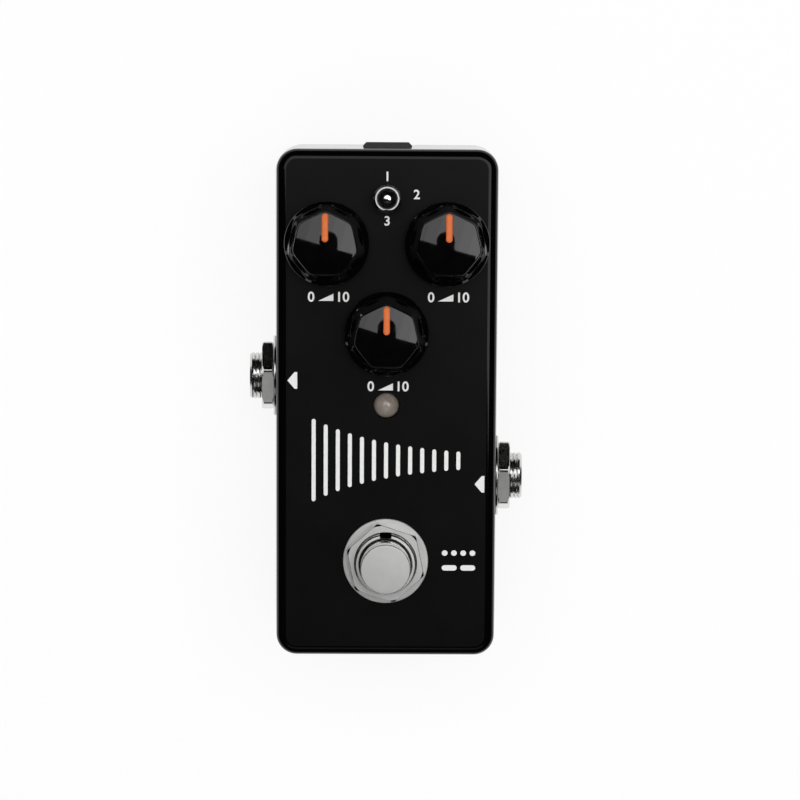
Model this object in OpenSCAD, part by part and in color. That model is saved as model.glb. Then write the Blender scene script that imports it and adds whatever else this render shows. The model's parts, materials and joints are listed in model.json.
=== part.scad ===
// Small delay pedal: a cast enclosure with three knobs, a mode switch, a lamp, a footswitch,
// two signal jacks and a power jack. The origin is at the centre of the base, under the pad.
// +X is the player's right, +Y points to the rear edge and +Z points up.

/* [Panel layout] */
// Width of the panel
panel_w = 43.6; // [42:0.1:80]
// Length of the panel
panel_l = 101; // [96:0.5:160]
// Distance between the two upper knobs
knob_pitch = 23.7; // [20:0.1:40]
// Distance from the rear edge of the panel to the mode switch
switch_inset = 9.7; // [8:0.1:20]
// Distance from the mode switch to the upper knobs' row
switch_to_row = 8.8; // [8:0.1:20]
// Distance from the upper knobs' row to the lower knob
row_to_lower = 17.7; // [16:0.1:30]
// Distance from the lower knob to the lamp
lower_to_led = 14.3; // [12:0.1:30]
// Distance from the lamp to the footswitch
led_to_foot = 31.2; // [28:0.1:50]

/* [Enclosure] */
// Thickness of the side walls
wall_t = 2; // [1.4:0.1:3]
// Thickness of the top panel
panel_t = 2; // [1.4:0.1:3]
// Slope of the side walls from upright, in degrees
draft_deg = 3.4; // [0.5:0.1:6]
// Radius of the upright corners at the panel
corner_r = 4; // [3.5:0.1:8]
// Rounding of the edge round the panel
edge_r = 2; // [0.5:0.1:3]
// Rounding of the edge inside, under the panel
inner_edge_r = 0.8; // [0.3:0.1:1.5]
// Radius of the screw columns in the corners
boss_r = 3.6; // [3.2:0.1:5]

/* [Base] */
// Thickness of the base plate
plate_t = 1.6; // [1:0.1:3]
// Step of the plate's edge inside the rim of the shell
plate_step = 0.2; // [0:0.1:1]
// Thickness of the rubber pad
pad_t = 1.5; // [1:0.1:4]
// Margin of bare plate round the pad
pad_margin = 3; // [1:0.5:8]
// Radius of the cut-out round each screw in the pad
pad_notch_r = 4.6; // [4:0.1:8]
// Diameter of the base screws
screw_d = 3; // [2.5:0.1:4]
// Diameter of the countersunk screw heads
screw_head_d = 5.6; // [5:0.1:7]
// Length of the base screws
screw_l = 9; // [6:0.5:14]

/* [Board] */
// Thickness of the main board
board_t = 1.6; // [0.8:0.1:2.4]
// Clearance between the board and the walls
board_gap = 0.6; // [0.3:0.1:2]
// Clearance between the board and the footswitch
board_foot_gap = 0.8; // [0.4:0.1:3]
// Side of the square processor chip
processor_w = 7; // [5:0.1:9]
// Width of the memory chip
memory_w = 6; // [4:0.1:8]
// Length of the memory chip
memory_l = 8; // [5:0.1:10]
// Width of the audio chips
audio_chip_w = 4; // [3:0.1:6]
// Length of the audio chips
audio_chip_l = 5; // [4:0.1:6]
// Width of the regulator
regulator_w = 6.5; // [4:0.1:8]
// Length of the regulator
regulator_l = 3.5; // [3:0.1:5]
// Height of the chips
chip_h = 1.2; // [0.6:0.1:2]
// Diameter of the capacitors
capacitor_d = 5; // [4:0.1:6.3]
// Height of the capacitors
capacitor_h = 5.4; // [4:0.1:6]

/* [Potentiometers and knobs] */
// Width of a potentiometer's housing
pot_w = 9.6; // [8:0.1:12]
// Length of a potentiometer's housing
pot_l = 10.6; // [8:0.1:13]
// Height of a potentiometer's housing, which sets the board under the panel
pot_h = 6.8; // [6:0.1:10]
// Diameter of a potentiometer's threaded bushing
pot_thread_d = 7; // [6.6:0.1:8]
// Diameter of a potentiometer's shaft
shaft_d = 6; // [5:0.1:6.2]
// Depth of the flat on a shaft
shaft_flat = 1.5; // [0.5:0.1:2]
// Width across flats of the potentiometer nuts
pot_nut_af = 10; // [9:0.1:11]
// Thickness of the potentiometer nuts
pot_nut_t = 1.6; // [1:0.1:2.5]
// Thickness of the potentiometer washers
pot_washer_t = 0.4; // [0.2:0.1:1]
// Height of the knobs above the panel
knob_h = 13.5; // [11:0.1:20]
// Clearance under the knobs
knob_lift = 0.6; // [0.4:0.1:2]
// Diameter of a knob's round skirt
knob_skirt_d = 16.7; // [15:0.1:19]
// Height of a knob's round skirt
knob_skirt_h = 2.7; // [2:0.1:4]
// Radius over a knob's rounded ridges at the skirt
knob_low_r = 7.7; // [7.2:0.1:8]
// Radius over a knob's rounded ridges at the crown
knob_high_r = 6.3; // [5.5:0.1:7]
// Number of flats round a knob
knob_sides = 7; // [5:1:9]
// Depth of the flats at the middle, measured from the ridges
knob_flat_depth = 0.45; // [0.2:0.05:0.8]
// Height of a knob's domed crown
knob_crown = 0.9; // [0.4:0.1:2]
// Length of a pointer
pointer_l = 5.55; // [3:0.1:6]
// Width of a pointer
pointer_w = 1.35; // [0.8:0.05:2]
// Depth of a pointer's groove
pointer_depth = 0.8; // [0.4:0.1:1.5]

/* [Mode switch] */
// Diameter of the mode switch's bushing
switch_d = 5.4; // [5:0.1:6.5]
// Height of the bushing above the panel
switch_h = 5; // [3:0.1:7]
// Width of the mode switch's housing
switch_w = 5.6; // [5:0.1:8]
// Length of the mode switch's housing
switch_l = 8.4; // [7:0.1:12]
// Diameter of the lever at the bushing
lever_d = 1.1; // [1:0.1:2]
// Diameter of the lever's tip
lever_tip_d = 1.5; // [1.2:0.1:3.4]
// Height of the lever's tip above the panel
lever_h = 11; // [8:0.1:14]
// Swing of the lever to each side, in degrees
lever_swing = 12; // [8:1:14]

/* [Lamp] */
// Diameter of the LED
led_d = 5; // [3:0.1:6]
// Height of the LED's dome above the panel
led_proud = 1.7; // [0.5:0.1:3]
// Width of the LED's rim beyond its lens
led_rim = 0.4; // [0.2:0.1:0.8]
// Height of the LED from its rim to the top of its dome
led_h = 6.6; // [5:0.1:8]

/* [Footswitch] */
// Diameter of the footswitch's threaded bushing
foot_thread_d = 12; // [11:0.1:13]
// Height of the bushing above the panel
foot_thread_h = 4.6; // [4:0.1:7]
// Width of the keyway along the bushing
foot_key_w = 2.3; // [1.5:0.1:3]
// Depth of the keyway
foot_key_depth = 0.7; // [0.3:0.1:0.8]
// Diameter of the push button
foot_button_d = 9.8; // [8:0.1:10.2]
// Height of the button above the panel
foot_button_h = 10.2; // [9:0.1:14]
// Width of the flare in the bushing's mouth
foot_mouth = 0.5; // [0.2:0.1:0.7]
// Rounding of the button's upper edge
foot_button_r = 0.7; // [0.3:0.1:1.5]
// Travel of the button
foot_travel = 3; // [1:0.1:4]
// Diameter of the washer on the panel
foot_washer_d = 17; // [15:0.1:20]
// Thickness of the washer
foot_washer_t = 0.6; // [0.4:0.1:1.2]
// Width across flats of the footswitch's nuts
foot_nut_af = 14; // [13.5:0.1:16]
// Thickness of the footswitch's nuts
foot_nut_t = 2.5; // [1.5:0.1:3]
// Turn of the nut on the panel, in degrees
foot_nut_turn = 42; // [0:1:60]
// Width of the footswitch's housing
foot_w = 13.4; // [13:0.1:18]
// Length of the footswitch's housing
foot_l = 13; // [12.8:0.1:14]
// Height of the footswitch's housing
foot_h = 13.5; // [10:0.1:16]
// Outer diameter of the return spring
spring_d = 8; // [7:0.1:9]
// Diameter of the spring's wire
spring_wire_d = 0.7; // [0.4:0.1:1]
// Number of turns in the spring
spring_turns = 5; // [3:1:8]

/* [Signal jacks] */
// Distance of the output jack behind the lamp
output_jack_back = 4.4; // [0:0.1:10]
// Distance of the input jack behind the footswitch
input_jack_back = 15; // [14:0.1:24]
// Diameter of a jack's threaded bushing
jack_thread_d = 9.5; // [9:0.1:10.5]
// Diameter of the plug's hole
jack_hole_d = 6.5; // [6.4:0.05:7]
// Length of a jack's bushing outside the wall
jack_thread_l = 5.35; // [4:0.05:9]
// Diameter of the jack washers
jack_washer_d = 16.5; // [14:0.1:18]
// Thickness of the jack washers
jack_washer_t = 0.5; // [0.3:0.1:1]
// Width across flats of the jack nuts
jack_nut_af = 13; // [12:0.1:14]
// Thickness of the jack nuts
jack_nut_t = 2.4; // [1.5:0.1:3]
// Turn of the nut on the output jack, in degrees
output_nut_turn = 10; // [0:1:60]
// Turn of the nut on the input jack, in degrees
input_nut_turn = 40; // [0:1:60]
// Width of a jack's housing
jack_body_w = 13; // [11:0.1:14]
// Height of a jack's housing
jack_body_h = 13; // [11:0.1:14]
// Length of a jack's housing
jack_body_l = 22; // [18:0.5:26]
// Clearance between the jack housings and the board
jack_board_gap = 1; // [0.6:0.1:3]
// Height under the jack housings' line, down to the base plate
jack_floor_gap = 6; // [4:0.1:12]

/* [Power jack] */
// Width of the power jack
power_w = 9.8; // [9:0.1:12]
// Height of the nose that shows in the wall
power_nose_h = 10; // [9:0.1:11]
// Distance that the nose stands out of the wall
power_proud = 0.7; // [0.3:0.1:2]
// Bevel on the nose's upright edges
power_bevel = 0.6; // [0.2:0.1:1]
// Distance from the board down to the top of the nose
power_drop = 3.5; // [0:0.1:5]
// Length of the power jack
power_l = 14; // [11:0.1:18]
// Diameter of the hole for the power plug
power_hole_d = 6.2; // [5.7:0.1:6.6]
// Depth of the hole for the power plug
power_hole_l = 9.5; // [8:0.1:11]
// Diameter of the centre pin
power_pin_d = 2; // [1.6:0.1:2.5]

/* [Clearances] */
// Radial clearance of a turning or sliding fit
run_gap = 0.06; // [0.02:0.01:0.1]
// Radial clearance of a piece passed through a hole
hole_gap = 0.15; // [0.1:0.05:0.4]
// Clearance between pieces that move past each other
move_gap = 0.4; // [0.3:0.05:1]
// Clearance left where two fixed pieces seat on each other at a slope
seat_gap = 0.05; // [0.02:0.01:0.2]

/* [Hidden] */
$fn = 64;
// Overlap that lets a cut pass clear through a face
cut = 1;

// Heights from the base up
rim_z = pad_t + plate_t;
shell_h = panel_t + pot_h + board_t + jack_board_gap + jack_body_h + jack_floor_gap;
top_z = rim_z + shell_h;
panel_z = top_z - panel_t;
board_top_z = panel_z - pot_h;
board_z = board_top_z - board_t;
jack_z = board_z - jack_board_gap - jack_body_h / 2;
power_z = board_z - power_drop - power_nose_h / 2;

// Chamfer on a nut's corners: radius of the flat face in half widths across flats, and slope
nut_face_share = 0.97;
nut_chamfer_deg = 30;

// Panel size and the places of the controls on it
top_w = panel_w;
top_l = panel_l;
switch_y = top_l / 2 - switch_inset;
row_y = switch_y - switch_to_row;
lower_y = row_y - row_to_lower;
led_y = lower_y - lower_to_led;
foot_y = led_y - led_to_foot;
output_y = led_y + output_jack_back;
input_y = foot_y + input_jack_back;
TIME = [-knob_pitch / 2, row_y];
REPEAT = [knob_pitch / 2, row_y];
MIX = [0, lower_y];
DIALS = [TIME, REPEAT, MIX];

// Walls: half sizes of the shell at a height, outside and inside
slope = tan(draft_deg);
wall_run = wall_t / cos(draft_deg);
function wall_x(z) = top_w / 2 + (top_z - z) * slope;
function wall_y(z) = top_l / 2 + (top_z - z) * slope;
function inner_x(z) = wall_x(z) - wall_run;
function inner_y(z) = wall_y(z) - wall_run;
inner_corner_r = max(inner_edge_r + seat_gap, corner_r - wall_t);
boss_x = top_w / 2 - corner_r;
boss_y = top_l / 2 - corner_r;
CORNERS = [[1, 1], [-1, 1], [-1, -1], [1, -1]];

// Board outline
board_half_w = inner_x(board_top_z) - board_gap;
board_rear_y = inner_y(board_top_z) - board_gap;
board_front_y = foot_y + foot_l / 2 + board_foot_gap;
chip_back = 2;
regulator_front = 6;

// Heights above the panel inside a knob
pot_thread_end = 0.3;
pot_thread_h = pot_washer_t + pot_nut_t + pot_thread_end;
knob_recess_h = pot_thread_h + move_gap;
knob_recess_r = pot_nut_af / sqrt(3) + move_gap;
knob_roof_t = 2.2;
knob_crown_r = (knob_high_r * knob_high_r + knob_crown * knob_crown) / (2 * knob_crown);
pointer_end_gap = 0.3;
shaft_h = knob_h - knob_crown - knob_roof_t;
pot_socket_h = 4;
pot_washer_d = pot_nut_af + 1;
shaft_end_gap = 0.15;

// Mode switch: the lever turns about a pin inside the bushing, and its tail reaches into the housing
lever_pivot_h = 1.2;
lever_tail_depth = 1.2;
lever_tail_l = lever_pivot_h + panel_t + lever_tail_depth;
lever_pin_d = 0.8;
lever_pin_inset = 0.7;
lever_pin_l = switch_d - 2 * lever_pin_inset;
lever_pin_gap = 0.1;
lever_reach = switch_h - lever_pivot_h;
lever_side_gap = 0.45;
switch_mouth_r = lever_reach * tan(lever_swing) + lever_d / 2 / cos(lever_swing) + lever_side_gap;
switch_slot_l = 2 * (lever_tail_l * sin(lever_swing) + lever_d / 2 + move_gap);
switch_slot_depth = lever_tail_depth + move_gap;

// Lamp: the underside of its rim
led_low_z = top_z + led_proud - led_h;

// Footswitch, measured from the panel
foot_flange_t = 1.5;
foot_flange_h = -panel_t - foot_nut_t;
foot_top_h = foot_flange_h - foot_flange_t;
foot_floor_t = 1.5;
foot_collar_t = 1.5;
foot_collar_step = 0.6;
foot_collar_d = foot_button_d + 2 * foot_collar_step;
foot_collar_h = foot_top_h - shaft_end_gap - foot_collar_t;
foot_floor_h = foot_top_h - foot_h + foot_floor_t;
foot_stem_d = 4;
foot_disc_t = 0.6;
foot_disc_gap = 1;
foot_disc_h = foot_floor_h + foot_travel + foot_disc_gap;
spring_low_h = foot_floor_h;
spring_mean_r = (spring_d - spring_wire_d) / 2;
terminal_x = 3.2;
terminal_w = 2.2;
terminal_t = 0.8;
terminal_l = 4;
terminal_z = top_z + foot_top_h - foot_h;

// Wires from the footswitch to the board: each leaves its terminal, loops under the board and rises to it.
// The points between are shares of the way from the first loop to the foot of the rise.
wire_d = 1.2;
wire_sides = 8;
wire_end_gap = 0.2;
wire_low_z = terminal_z - 0.6 * terminal_l;
wire_out = 2.2;
wire_land_back = 11.4;
wire_land_x = -12.4;
wire_land_step = 3.2;
wire_rise = 3;
left_wire_shares = [[0.26, 0.37, 0.05], [0.7, 0.7, 0.21], [0.96, 0.91, 0.56]];
right_wire_shares = [[0.17, 0.35, -0.14], [0.49, 0.46, -0.16], [0.81, 0.52, -0.02], [0.98, 0.76, 0.4]];
function between(a, b, shares) = [for (i = [0:2]) a[i] + (b[i] - a[i]) * shares[i]];
function wire_route(x, land_x, shares) =
  let (
    loop = [x, foot_y + wire_out, wire_low_z],
    foot = [land_x, foot_y + wire_land_back, board_z - wire_rise]
  )
  concat(
    [[x, foot_y + terminal_t / 2 + wire_end_gap, wire_low_z], loop],
    [for (s = shares) between(loop, foot, s)],
    [foot, [foot[0], foot[1], board_z - wire_end_gap]]
  );
left_wire_route = wire_route(-terminal_x, wire_land_x, left_wire_shares);
right_wire_route = wire_route(terminal_x, wire_land_x - wire_land_step, right_wire_shares);

// Signal jacks, measured along the jack's own axis from the wall's outer face
jack_shoulder_t = 1.2;
jack_shoulder_end = -wall_t - seat_gap - jack_shoulder_t;
jack_cavity_d = jack_hole_d + 1.4;
jack_end_t = 1.5;
jack_pin_d = 1;
jack_pin_gap = 0.15;
jack_pin_in = [4, 12, 18];

// Colours
ink_black = [0.03, 0.03, 0.03];
knob_black = [0.05, 0.05, 0.05];
pointer_orange = [0.9, 0.3, 0.08];
nickel = [0.75, 0.74, 0.72];
brass = [0.8, 0.65, 0.3];
board_green = [0.05, 0.3, 0.15];
chip_grey = [0.12, 0.12, 0.13];

// Shared shapes

// A plain ring standing on the plane z = 0
module ring(outer_d, inner_d, h) {
  difference() {
    cylinder(d = outer_d, h = h);
    translate([0, 0, -cut])
      cylinder(d = inner_d, h = h + 2 * cut);
  }
}

// A hex nut with its corners chamfered on both faces
module hex_nut(af, h, bore_d) {
  corner = af / sqrt(3);
  face_r = af / 2 * nut_face_share;
  chamfer_h = (corner - face_r) * tan(nut_chamfer_deg);
  difference() {
    intersection() {
      cylinder(r = corner, h = h, $fn = 6);
      rotate_extrude()
        polygon([
          [0, 0],
          [face_r, 0],
          [corner, chamfer_h],
          [corner, h - chamfer_h],
          [face_r, h],
          [0, h]
        ]);
    }
    translate([0, 0, -cut])
      cylinder(d = bore_d, h = h + 2 * cut);
  }
}

// A threaded tube with a chamfered free end
module bushing_tube(outer_d, h, chamfer) {
  cylinder(d = outer_d, h = h - chamfer);
  translate([0, 0, h - chamfer])
    cylinder(r1 = outer_d / 2, r2 = outer_d / 2 - chamfer, h = chamfer);
}

// A flat plate with rounded corners
module rounded_plate(half_w, half_l, radius, h) {
  translate([-half_w + radius, -half_l, 0])
    cube([2 * (half_w - radius), 2 * half_l, h]);
  translate([-half_w, -half_l + radius, 0])
    cube([2 * half_w, 2 * (half_l - radius), h]);
  for (c = CORNERS)
    translate([c[0] * (half_w - radius), c[1] * (half_l - radius), 0])
      cylinder(r = radius, h = h);
}

// Half section of a sloping wall with a rounded upper edge, from the centre of its corner outwards
module wall_section(corner, drop, edge) {
  arc_u = corner - edge * (1 - sin(draft_deg)) / cos(draft_deg);
  polygon([
    [0, 0],
    [corner + drop * slope, 0],
    [arc_u + edge * cos(draft_deg), drop - edge + edge * sin(draft_deg)],
    [arc_u, drop],
    [0, drop]
  ]);
  translate([arc_u, drop - edge])
    circle(edge);
}

// A block with sloping walls, whose half sizes and corner radius are those of its top
module drafted_block(half_w, half_l, corner, edge, drop) {
  cx = half_w - corner;
  cy = half_l - corner;
  translate([-cx, -cy, 0])
    cube([2 * cx, 2 * cy, drop]);
  for (turn = [0, 180])
    rotate(turn) {
      translate([cx, cy, 0])
        rotate([90, 0, 0])
          linear_extrude(2 * cy)
            wall_section(corner, drop, edge);
      translate([-cx, cy, 0])
        rotate([90, 0, 90])
          linear_extrude(2 * cx)
            wall_section(corner, drop, edge);
      translate([cx, cy, 0])
        rotate_extrude(angle = 90)
          wall_section(corner, drop, edge);
      translate([-cx, cy, 0])
        rotate(90)
          rotate_extrude(angle = 90)
            wall_section(corner, drop, edge);
    }
}

// Places its children on a side wall, with +Z out of the wall: side is -1 for left and 1 for right
module on_side_wall(side, y) {
  translate([side * wall_x(jack_z), y, jack_z])
    rotate([0, side * (90 - draft_deg), 0])
      children();
}

module at_output_jack() {
  on_side_wall(-1, output_y)
    children();
}

module at_input_jack() {
  on_side_wall(1, input_y)
    children();
}

// Places its children on the panel's upper face
module on_panel(place) {
  translate([place[0], place[1], top_z])
    children();
}

// Places its children on the rear wall at the power jack, with +Z to the rear
module at_power_jack() {
  translate([0, wall_y(power_z), power_z])
    rotate([-90, 0, 0])
      children();
}

// A round tube swept along a route, with its ends cut square to the route
function unit(v) = v / norm(v);
function route_direction(route, i) =
  i == 0 ? unit(route[1] - route[0]) :
  i == len(route) - 1 ? unit(route[i] - route[i - 1]) :
  unit(unit(route[i + 1] - route[i]) + unit(route[i] - route[i - 1]));
function next_side(old, direction) = unit(old - (old * direction) * direction);
function route_sides(route, i = 0, found = []) =
  i == len(route) ? found :
  let (
    old = i == 0 ? cross(route_direction(route, 0), [0.3, 0.2, 0.9]) : found[i - 1]
  )
  route_sides(route, i + 1, concat(found, [next_side(old, route_direction(route, i))]));

// Points on a smooth curve through the route, with a few steps to each leg
function smooth_point(a, b, c, d, t) =
  0.5 * (2 * b + (c - a) * t + (2 * a - 5 * b + 4 * c - d) * t * t + (3 * b - a - 3 * c + d) * t * t * t);
function smooth_route(points, steps) =
  let (last = len(points) - 1)
  concat(
    [
      for (i = [0:last - 1], s = [0:steps - 1])
        smooth_point(points[max(i - 1, 0)], points[i], points[i + 1], points[min(i + 2, last)], s / steps)
    ],
    [points[last]]
  );

module swept_tube(route, d, sides) {
  count = len(route);
  offsets = route_sides(route);
  points = [
    for (i = [0:count - 1], k = [0:sides - 1])
      let (
        across = offsets[i],
        up = cross(route_direction(route, i), across),
        angle = 360 * k / sides
      )
      route[i] + d / 2 * (cos(angle) * across + sin(angle) * up)
  ];
  walls = [
    for (i = [0:count - 2], k = [0:sides - 1], half = [0, 1])
      let (
        a = i * sides + k,
        b = i * sides + (k + 1) % sides
      )
      half == 0 ? [a, a + sides, b + sides] : [a, b + sides, b]
  ];
  caps = [
    for (k = [1:sides - 2], end = [0, 1])
      end == 0 ? [0, k, k + 1] : [(count - 1) * sides, (count - 1) * sides + k + 1, (count - 1) * sides + k]
  ];
  polyhedron(points, concat(walls, caps));
}

// Enclosure and base

module screw_columns() {
  for (c = CORNERS)
    translate([c[0] * boss_x, c[1] * boss_y, rim_z])
      cylinder(r = boss_r, h = shell_h - panel_t + cut);
}

module shell_openings() {
  for (place = DIALS)
    translate([place[0], place[1], panel_z - cut])
      cylinder(d = pot_thread_d + 2 * hole_gap, h = panel_t + 2 * cut);
  translate([0, switch_y, panel_z - cut])
    cylinder(d = switch_d + 2 * hole_gap, h = panel_t + 2 * cut);
  translate([0, led_y, panel_z - cut])
    cylinder(d = led_d + 2 * hole_gap, h = panel_t + 2 * cut);
  translate([0, foot_y, panel_z - cut])
    cylinder(d = foot_thread_d + 2 * hole_gap, h = panel_t + 2 * cut);
  at_output_jack()
    jack_hole();
  at_input_jack()
    jack_hole();
  at_power_jack()
    power_opening();
}

module jack_hole() {
  translate([0, 0, -wall_t - cut])
    cylinder(d = jack_thread_d + 2 * hole_gap, h = wall_t + 2 * cut);
}

module power_opening() {
  w = power_w + 2 * hole_gap;
  h = power_nose_h + 2 * hole_gap;
  depth = 2 * wall_t + power_nose_h * slope + 2 * cut;
  translate([-w / 2, -h / 2, -depth / 2 - wall_t / 2])
    cube([w, h, depth]);
}

module enclosure() {
  color(ink_black)
    difference() {
      union() {
        difference() {
          translate([0, 0, rim_z])
            drafted_block(top_w / 2, top_l / 2, corner_r, edge_r, shell_h);
          translate([0, 0, rim_z - cut])
            drafted_block(
              inner_x(panel_z), inner_y(panel_z), inner_corner_r, inner_edge_r, shell_h - panel_t + cut
            );
        }
        intersection() {
          screw_columns();
          translate([0, 0, rim_z])
            drafted_block(
              top_w / 2 - wall_t / 2, top_l / 2 - wall_t / 2, corner_r - wall_t / 2, inner_edge_r,
              shell_h - panel_t / 2
            );
        }
      }
      shell_openings();
      for (c = CORNERS)
        translate([c[0] * boss_x, c[1] * boss_y, rim_z - cut])
          cylinder(d = screw_d + 2 * run_gap, h = screw_l + cut);
    }
}

module base_plate() {
  half_w = wall_x(rim_z) - plate_step;
  half_l = wall_y(rim_z) - plate_step;
  color(ink_black)
    difference() {
      translate([0, 0, pad_t])
        rounded_plate(half_w, half_l, corner_r + shell_h * slope - plate_step, plate_t);
      for (c = CORNERS)
        translate([c[0] * boss_x, c[1] * boss_y, pad_t])
          screw_seat();
    }
}

// The countersunk hole for a base screw, from the plate's underside up
module screw_seat() {
  sink_h = (screw_head_d - screw_d) / 2;
  translate([0, 0, -cut])
    cylinder(d = screw_d + 2 * hole_gap, h = plate_t + 2 * cut);
  cylinder(d1 = screw_head_d + 2 * hole_gap, d2 = screw_d + 2 * hole_gap, h = sink_h);
}

module base_screw() {
  sink_h = (screw_head_d - screw_d) / 2;
  slot_w = 0.9;
  slot_h = sink_h * 0.7;
  difference() {
    union() {
      cylinder(d1 = screw_head_d, d2 = screw_d, h = sink_h);
      cylinder(d = screw_d, h = screw_l);
    }
    for (turn = [0, 90])
      rotate(turn)
        translate([-screw_d / 2, -slot_w / 2, -cut])
          cube([screw_d, slot_w, cut + slot_h]);
  }
}

module base_screws() {
  color("silver")
    for (c = CORNERS)
      translate([c[0] * boss_x, c[1] * boss_y, pad_t])
        base_screw();
}

module rubber_pad() {
  half_w = wall_x(rim_z) - plate_step - pad_margin;
  half_l = wall_y(rim_z) - plate_step - pad_margin;
  color(ink_black)
    difference() {
      rounded_plate(half_w, half_l, corner_r, pad_t);
      for (c = CORNERS)
        translate([c[0] * boss_x, c[1] * boss_y, -cut])
          cylinder(r = pad_notch_r, h = pad_t + 2 * cut);
    }
}

// Main board and what is soldered to it

module main_board() {
  color(board_green)
    difference() {
      translate([-board_half_w, board_front_y, board_z])
        cube([2 * board_half_w, board_rear_y - board_front_y, board_t]);
      for (c = CORNERS)
        translate([c[0] * boss_x, c[1] * boss_y, board_z - cut])
          cylinder(r = boss_r + board_gap, h = board_t + 2 * cut);
    }
}

module chip(place, w, l) {
  translate([place[0] - w / 2, place[1] - l / 2, board_top_z])
    cube([w, l, chip_h]);
}

module processor_chip() {
  color(chip_grey)
    chip([-knob_pitch / 2, lower_y + chip_back], processor_w, processor_w);
}

module memory_chip() {
  color(chip_grey)
    chip([knob_pitch / 2, lower_y + chip_back], memory_w, memory_l);
}

module audio_chips() {
  color(chip_grey)
    for (side = [-1, 1])
      chip([side * knob_pitch / 2, led_y + chip_back], audio_chip_w, audio_chip_l);
}

module capacitors() {
  color("silver")
    for (x = [-knob_pitch / 2, 0, knob_pitch / 2])
      translate([x, input_y, board_top_z])
        cylinder(d = capacitor_d, h = capacitor_h);
}

module regulator() {
  color(chip_grey)
    chip([knob_pitch / 2, led_y - regulator_front], regulator_w, regulator_l);
}

// Potentiometers

module pot(place) {
  color("dimgray")
    difference() {
      union() {
        translate([place[0] - pot_w / 2, place[1] - pot_l / 2, board_top_z])
          cube([pot_w, pot_l, pot_h]);
        translate([place[0], place[1], panel_z])
          bushing_tube(pot_thread_d, panel_t + pot_thread_h, pot_thread_end);
      }
      translate([place[0], place[1], panel_z - pot_socket_h])
        cylinder(d = shaft_d + 2 * run_gap, h = pot_socket_h + panel_t + pot_thread_h + cut);
    }
}

// A round shaft with a flat on its front side, above the bushing
module pot_shaft(place) {
  low_z = panel_z - pot_socket_h + shaft_end_gap;
  flat_h = pot_thread_h + shaft_end_gap;
  color("silver")
    difference() {
      translate([place[0], place[1], low_z])
        cylinder(d = shaft_d, h = top_z + shaft_h - low_z);
      on_panel(place)
        translate([-shaft_d, -shaft_d / 2 - cut, flat_h])
          cube([2 * shaft_d, shaft_flat + cut, shaft_h]);
    }
}

module pot_washers() {
  color(nickel)
    for (place = DIALS)
      on_panel(place)
        ring(pot_washer_d, pot_thread_d + 2 * hole_gap, pot_washer_t);
}

module pot_nuts() {
  color(nickel)
    for (place = DIALS)
      on_panel(place)
        translate([0, 0, pot_washer_t])
          hex_nut(pot_nut_af, pot_nut_t, pot_thread_d + 2 * run_gap);
}

// Solder pins under the board, behind each potentiometer
module pot_pins() {
  pin_pitch = 2.5;
  pin_inset = 1;
  pin_l = 1.2;
  pin_tip_d = 0.6;
  pin_foot_d = 1.4;
  color("silver")
    for (place = DIALS, step = [-1, 0, 1])
      translate([place[0] + step * pin_pitch, place[1] + pot_l / 2 - pin_inset, board_z - pin_l])
        cylinder(d1 = pin_tip_d, d2 = pin_foot_d, h = pin_l);
}

// Knobs

// A flat cut along one side of a knob's body, facing +X
module knob_flat() {
  low_r = knob_low_r - knob_flat_depth;
  high_r = knob_high_r - knob_flat_depth;
  far = knob_skirt_d;
  translate([0, far, 0])
    rotate([90, 0, 0])
      linear_extrude(2 * far)
        polygon([
          [low_r, knob_lift + knob_skirt_h],
          [far, knob_lift + knob_skirt_h],
          [far, knob_h + cut],
          [high_r - (low_r - high_r) * cut / (knob_h - knob_lift - knob_skirt_h), knob_h + cut]
        ]);
}

// The turned form of a knob before its flats are cut: skirt, flared body and domed crown
module knob_turned() {
  skirt_edge = 0.6;
  rotate_extrude()
    intersection() {
      polygon([
        [0, knob_lift],
        [knob_skirt_d / 2, knob_lift],
        [knob_skirt_d / 2, knob_lift + knob_skirt_h - skirt_edge],
        [knob_skirt_d / 2 - skirt_edge, knob_lift + knob_skirt_h],
        [knob_low_r, knob_lift + knob_skirt_h],
        [knob_high_r, knob_h - knob_crown],
        [knob_high_r, knob_h],
        [0, knob_h]
      ]);
      translate([0, knob_h - knob_crown_r])
        circle(knob_crown_r, $fn = 128);
    }
}

module pointer_block() {
  far_y = knob_high_r - pointer_end_gap;
  translate([-pointer_w / 2, far_y - pointer_l + pointer_w / 2, knob_h - knob_crown - pointer_depth])
    cube([pointer_w, pointer_l - pointer_w, knob_crown + pointer_depth + cut]);
  for (y = [far_y - pointer_l + pointer_w / 2, far_y - pointer_w / 2])
    translate([0, y, knob_h - knob_crown - pointer_depth])
      cylinder(d = pointer_w, h = knob_crown + pointer_depth + cut);
}

module knob(place) {
  bore_top = shaft_h + shaft_end_gap;
  flat_y = -shaft_d / 2 + shaft_flat - run_gap;
  color(knob_black)
    on_panel(place)
      difference() {
        knob_turned();
        for (k = [0:knob_sides - 1])
          rotate(-90 + 360 * k / knob_sides)
            knob_flat();
        translate([0, 0, knob_lift - cut])
          cylinder(r = knob_recess_r, h = knob_recess_h - knob_lift + cut);
        difference() {
          cylinder(d = shaft_d + 2 * run_gap, h = bore_top);
          translate([-shaft_d, -shaft_d + flat_y, knob_recess_h])
            cube([2 * shaft_d, shaft_d, bore_top]);
        }
        pointer_block();
      }
}

// The inlay stands a little proud of the crown and follows its dome
module pointer(place) {
  proud = 0.15;
  color(pointer_orange)
    on_panel(place)
      intersection() {
        pointer_block();
        translate([0, 0, knob_h - knob_crown_r])
          sphere(knob_crown_r + proud, $fn = 128);
      }
}

// Mode switch

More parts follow.
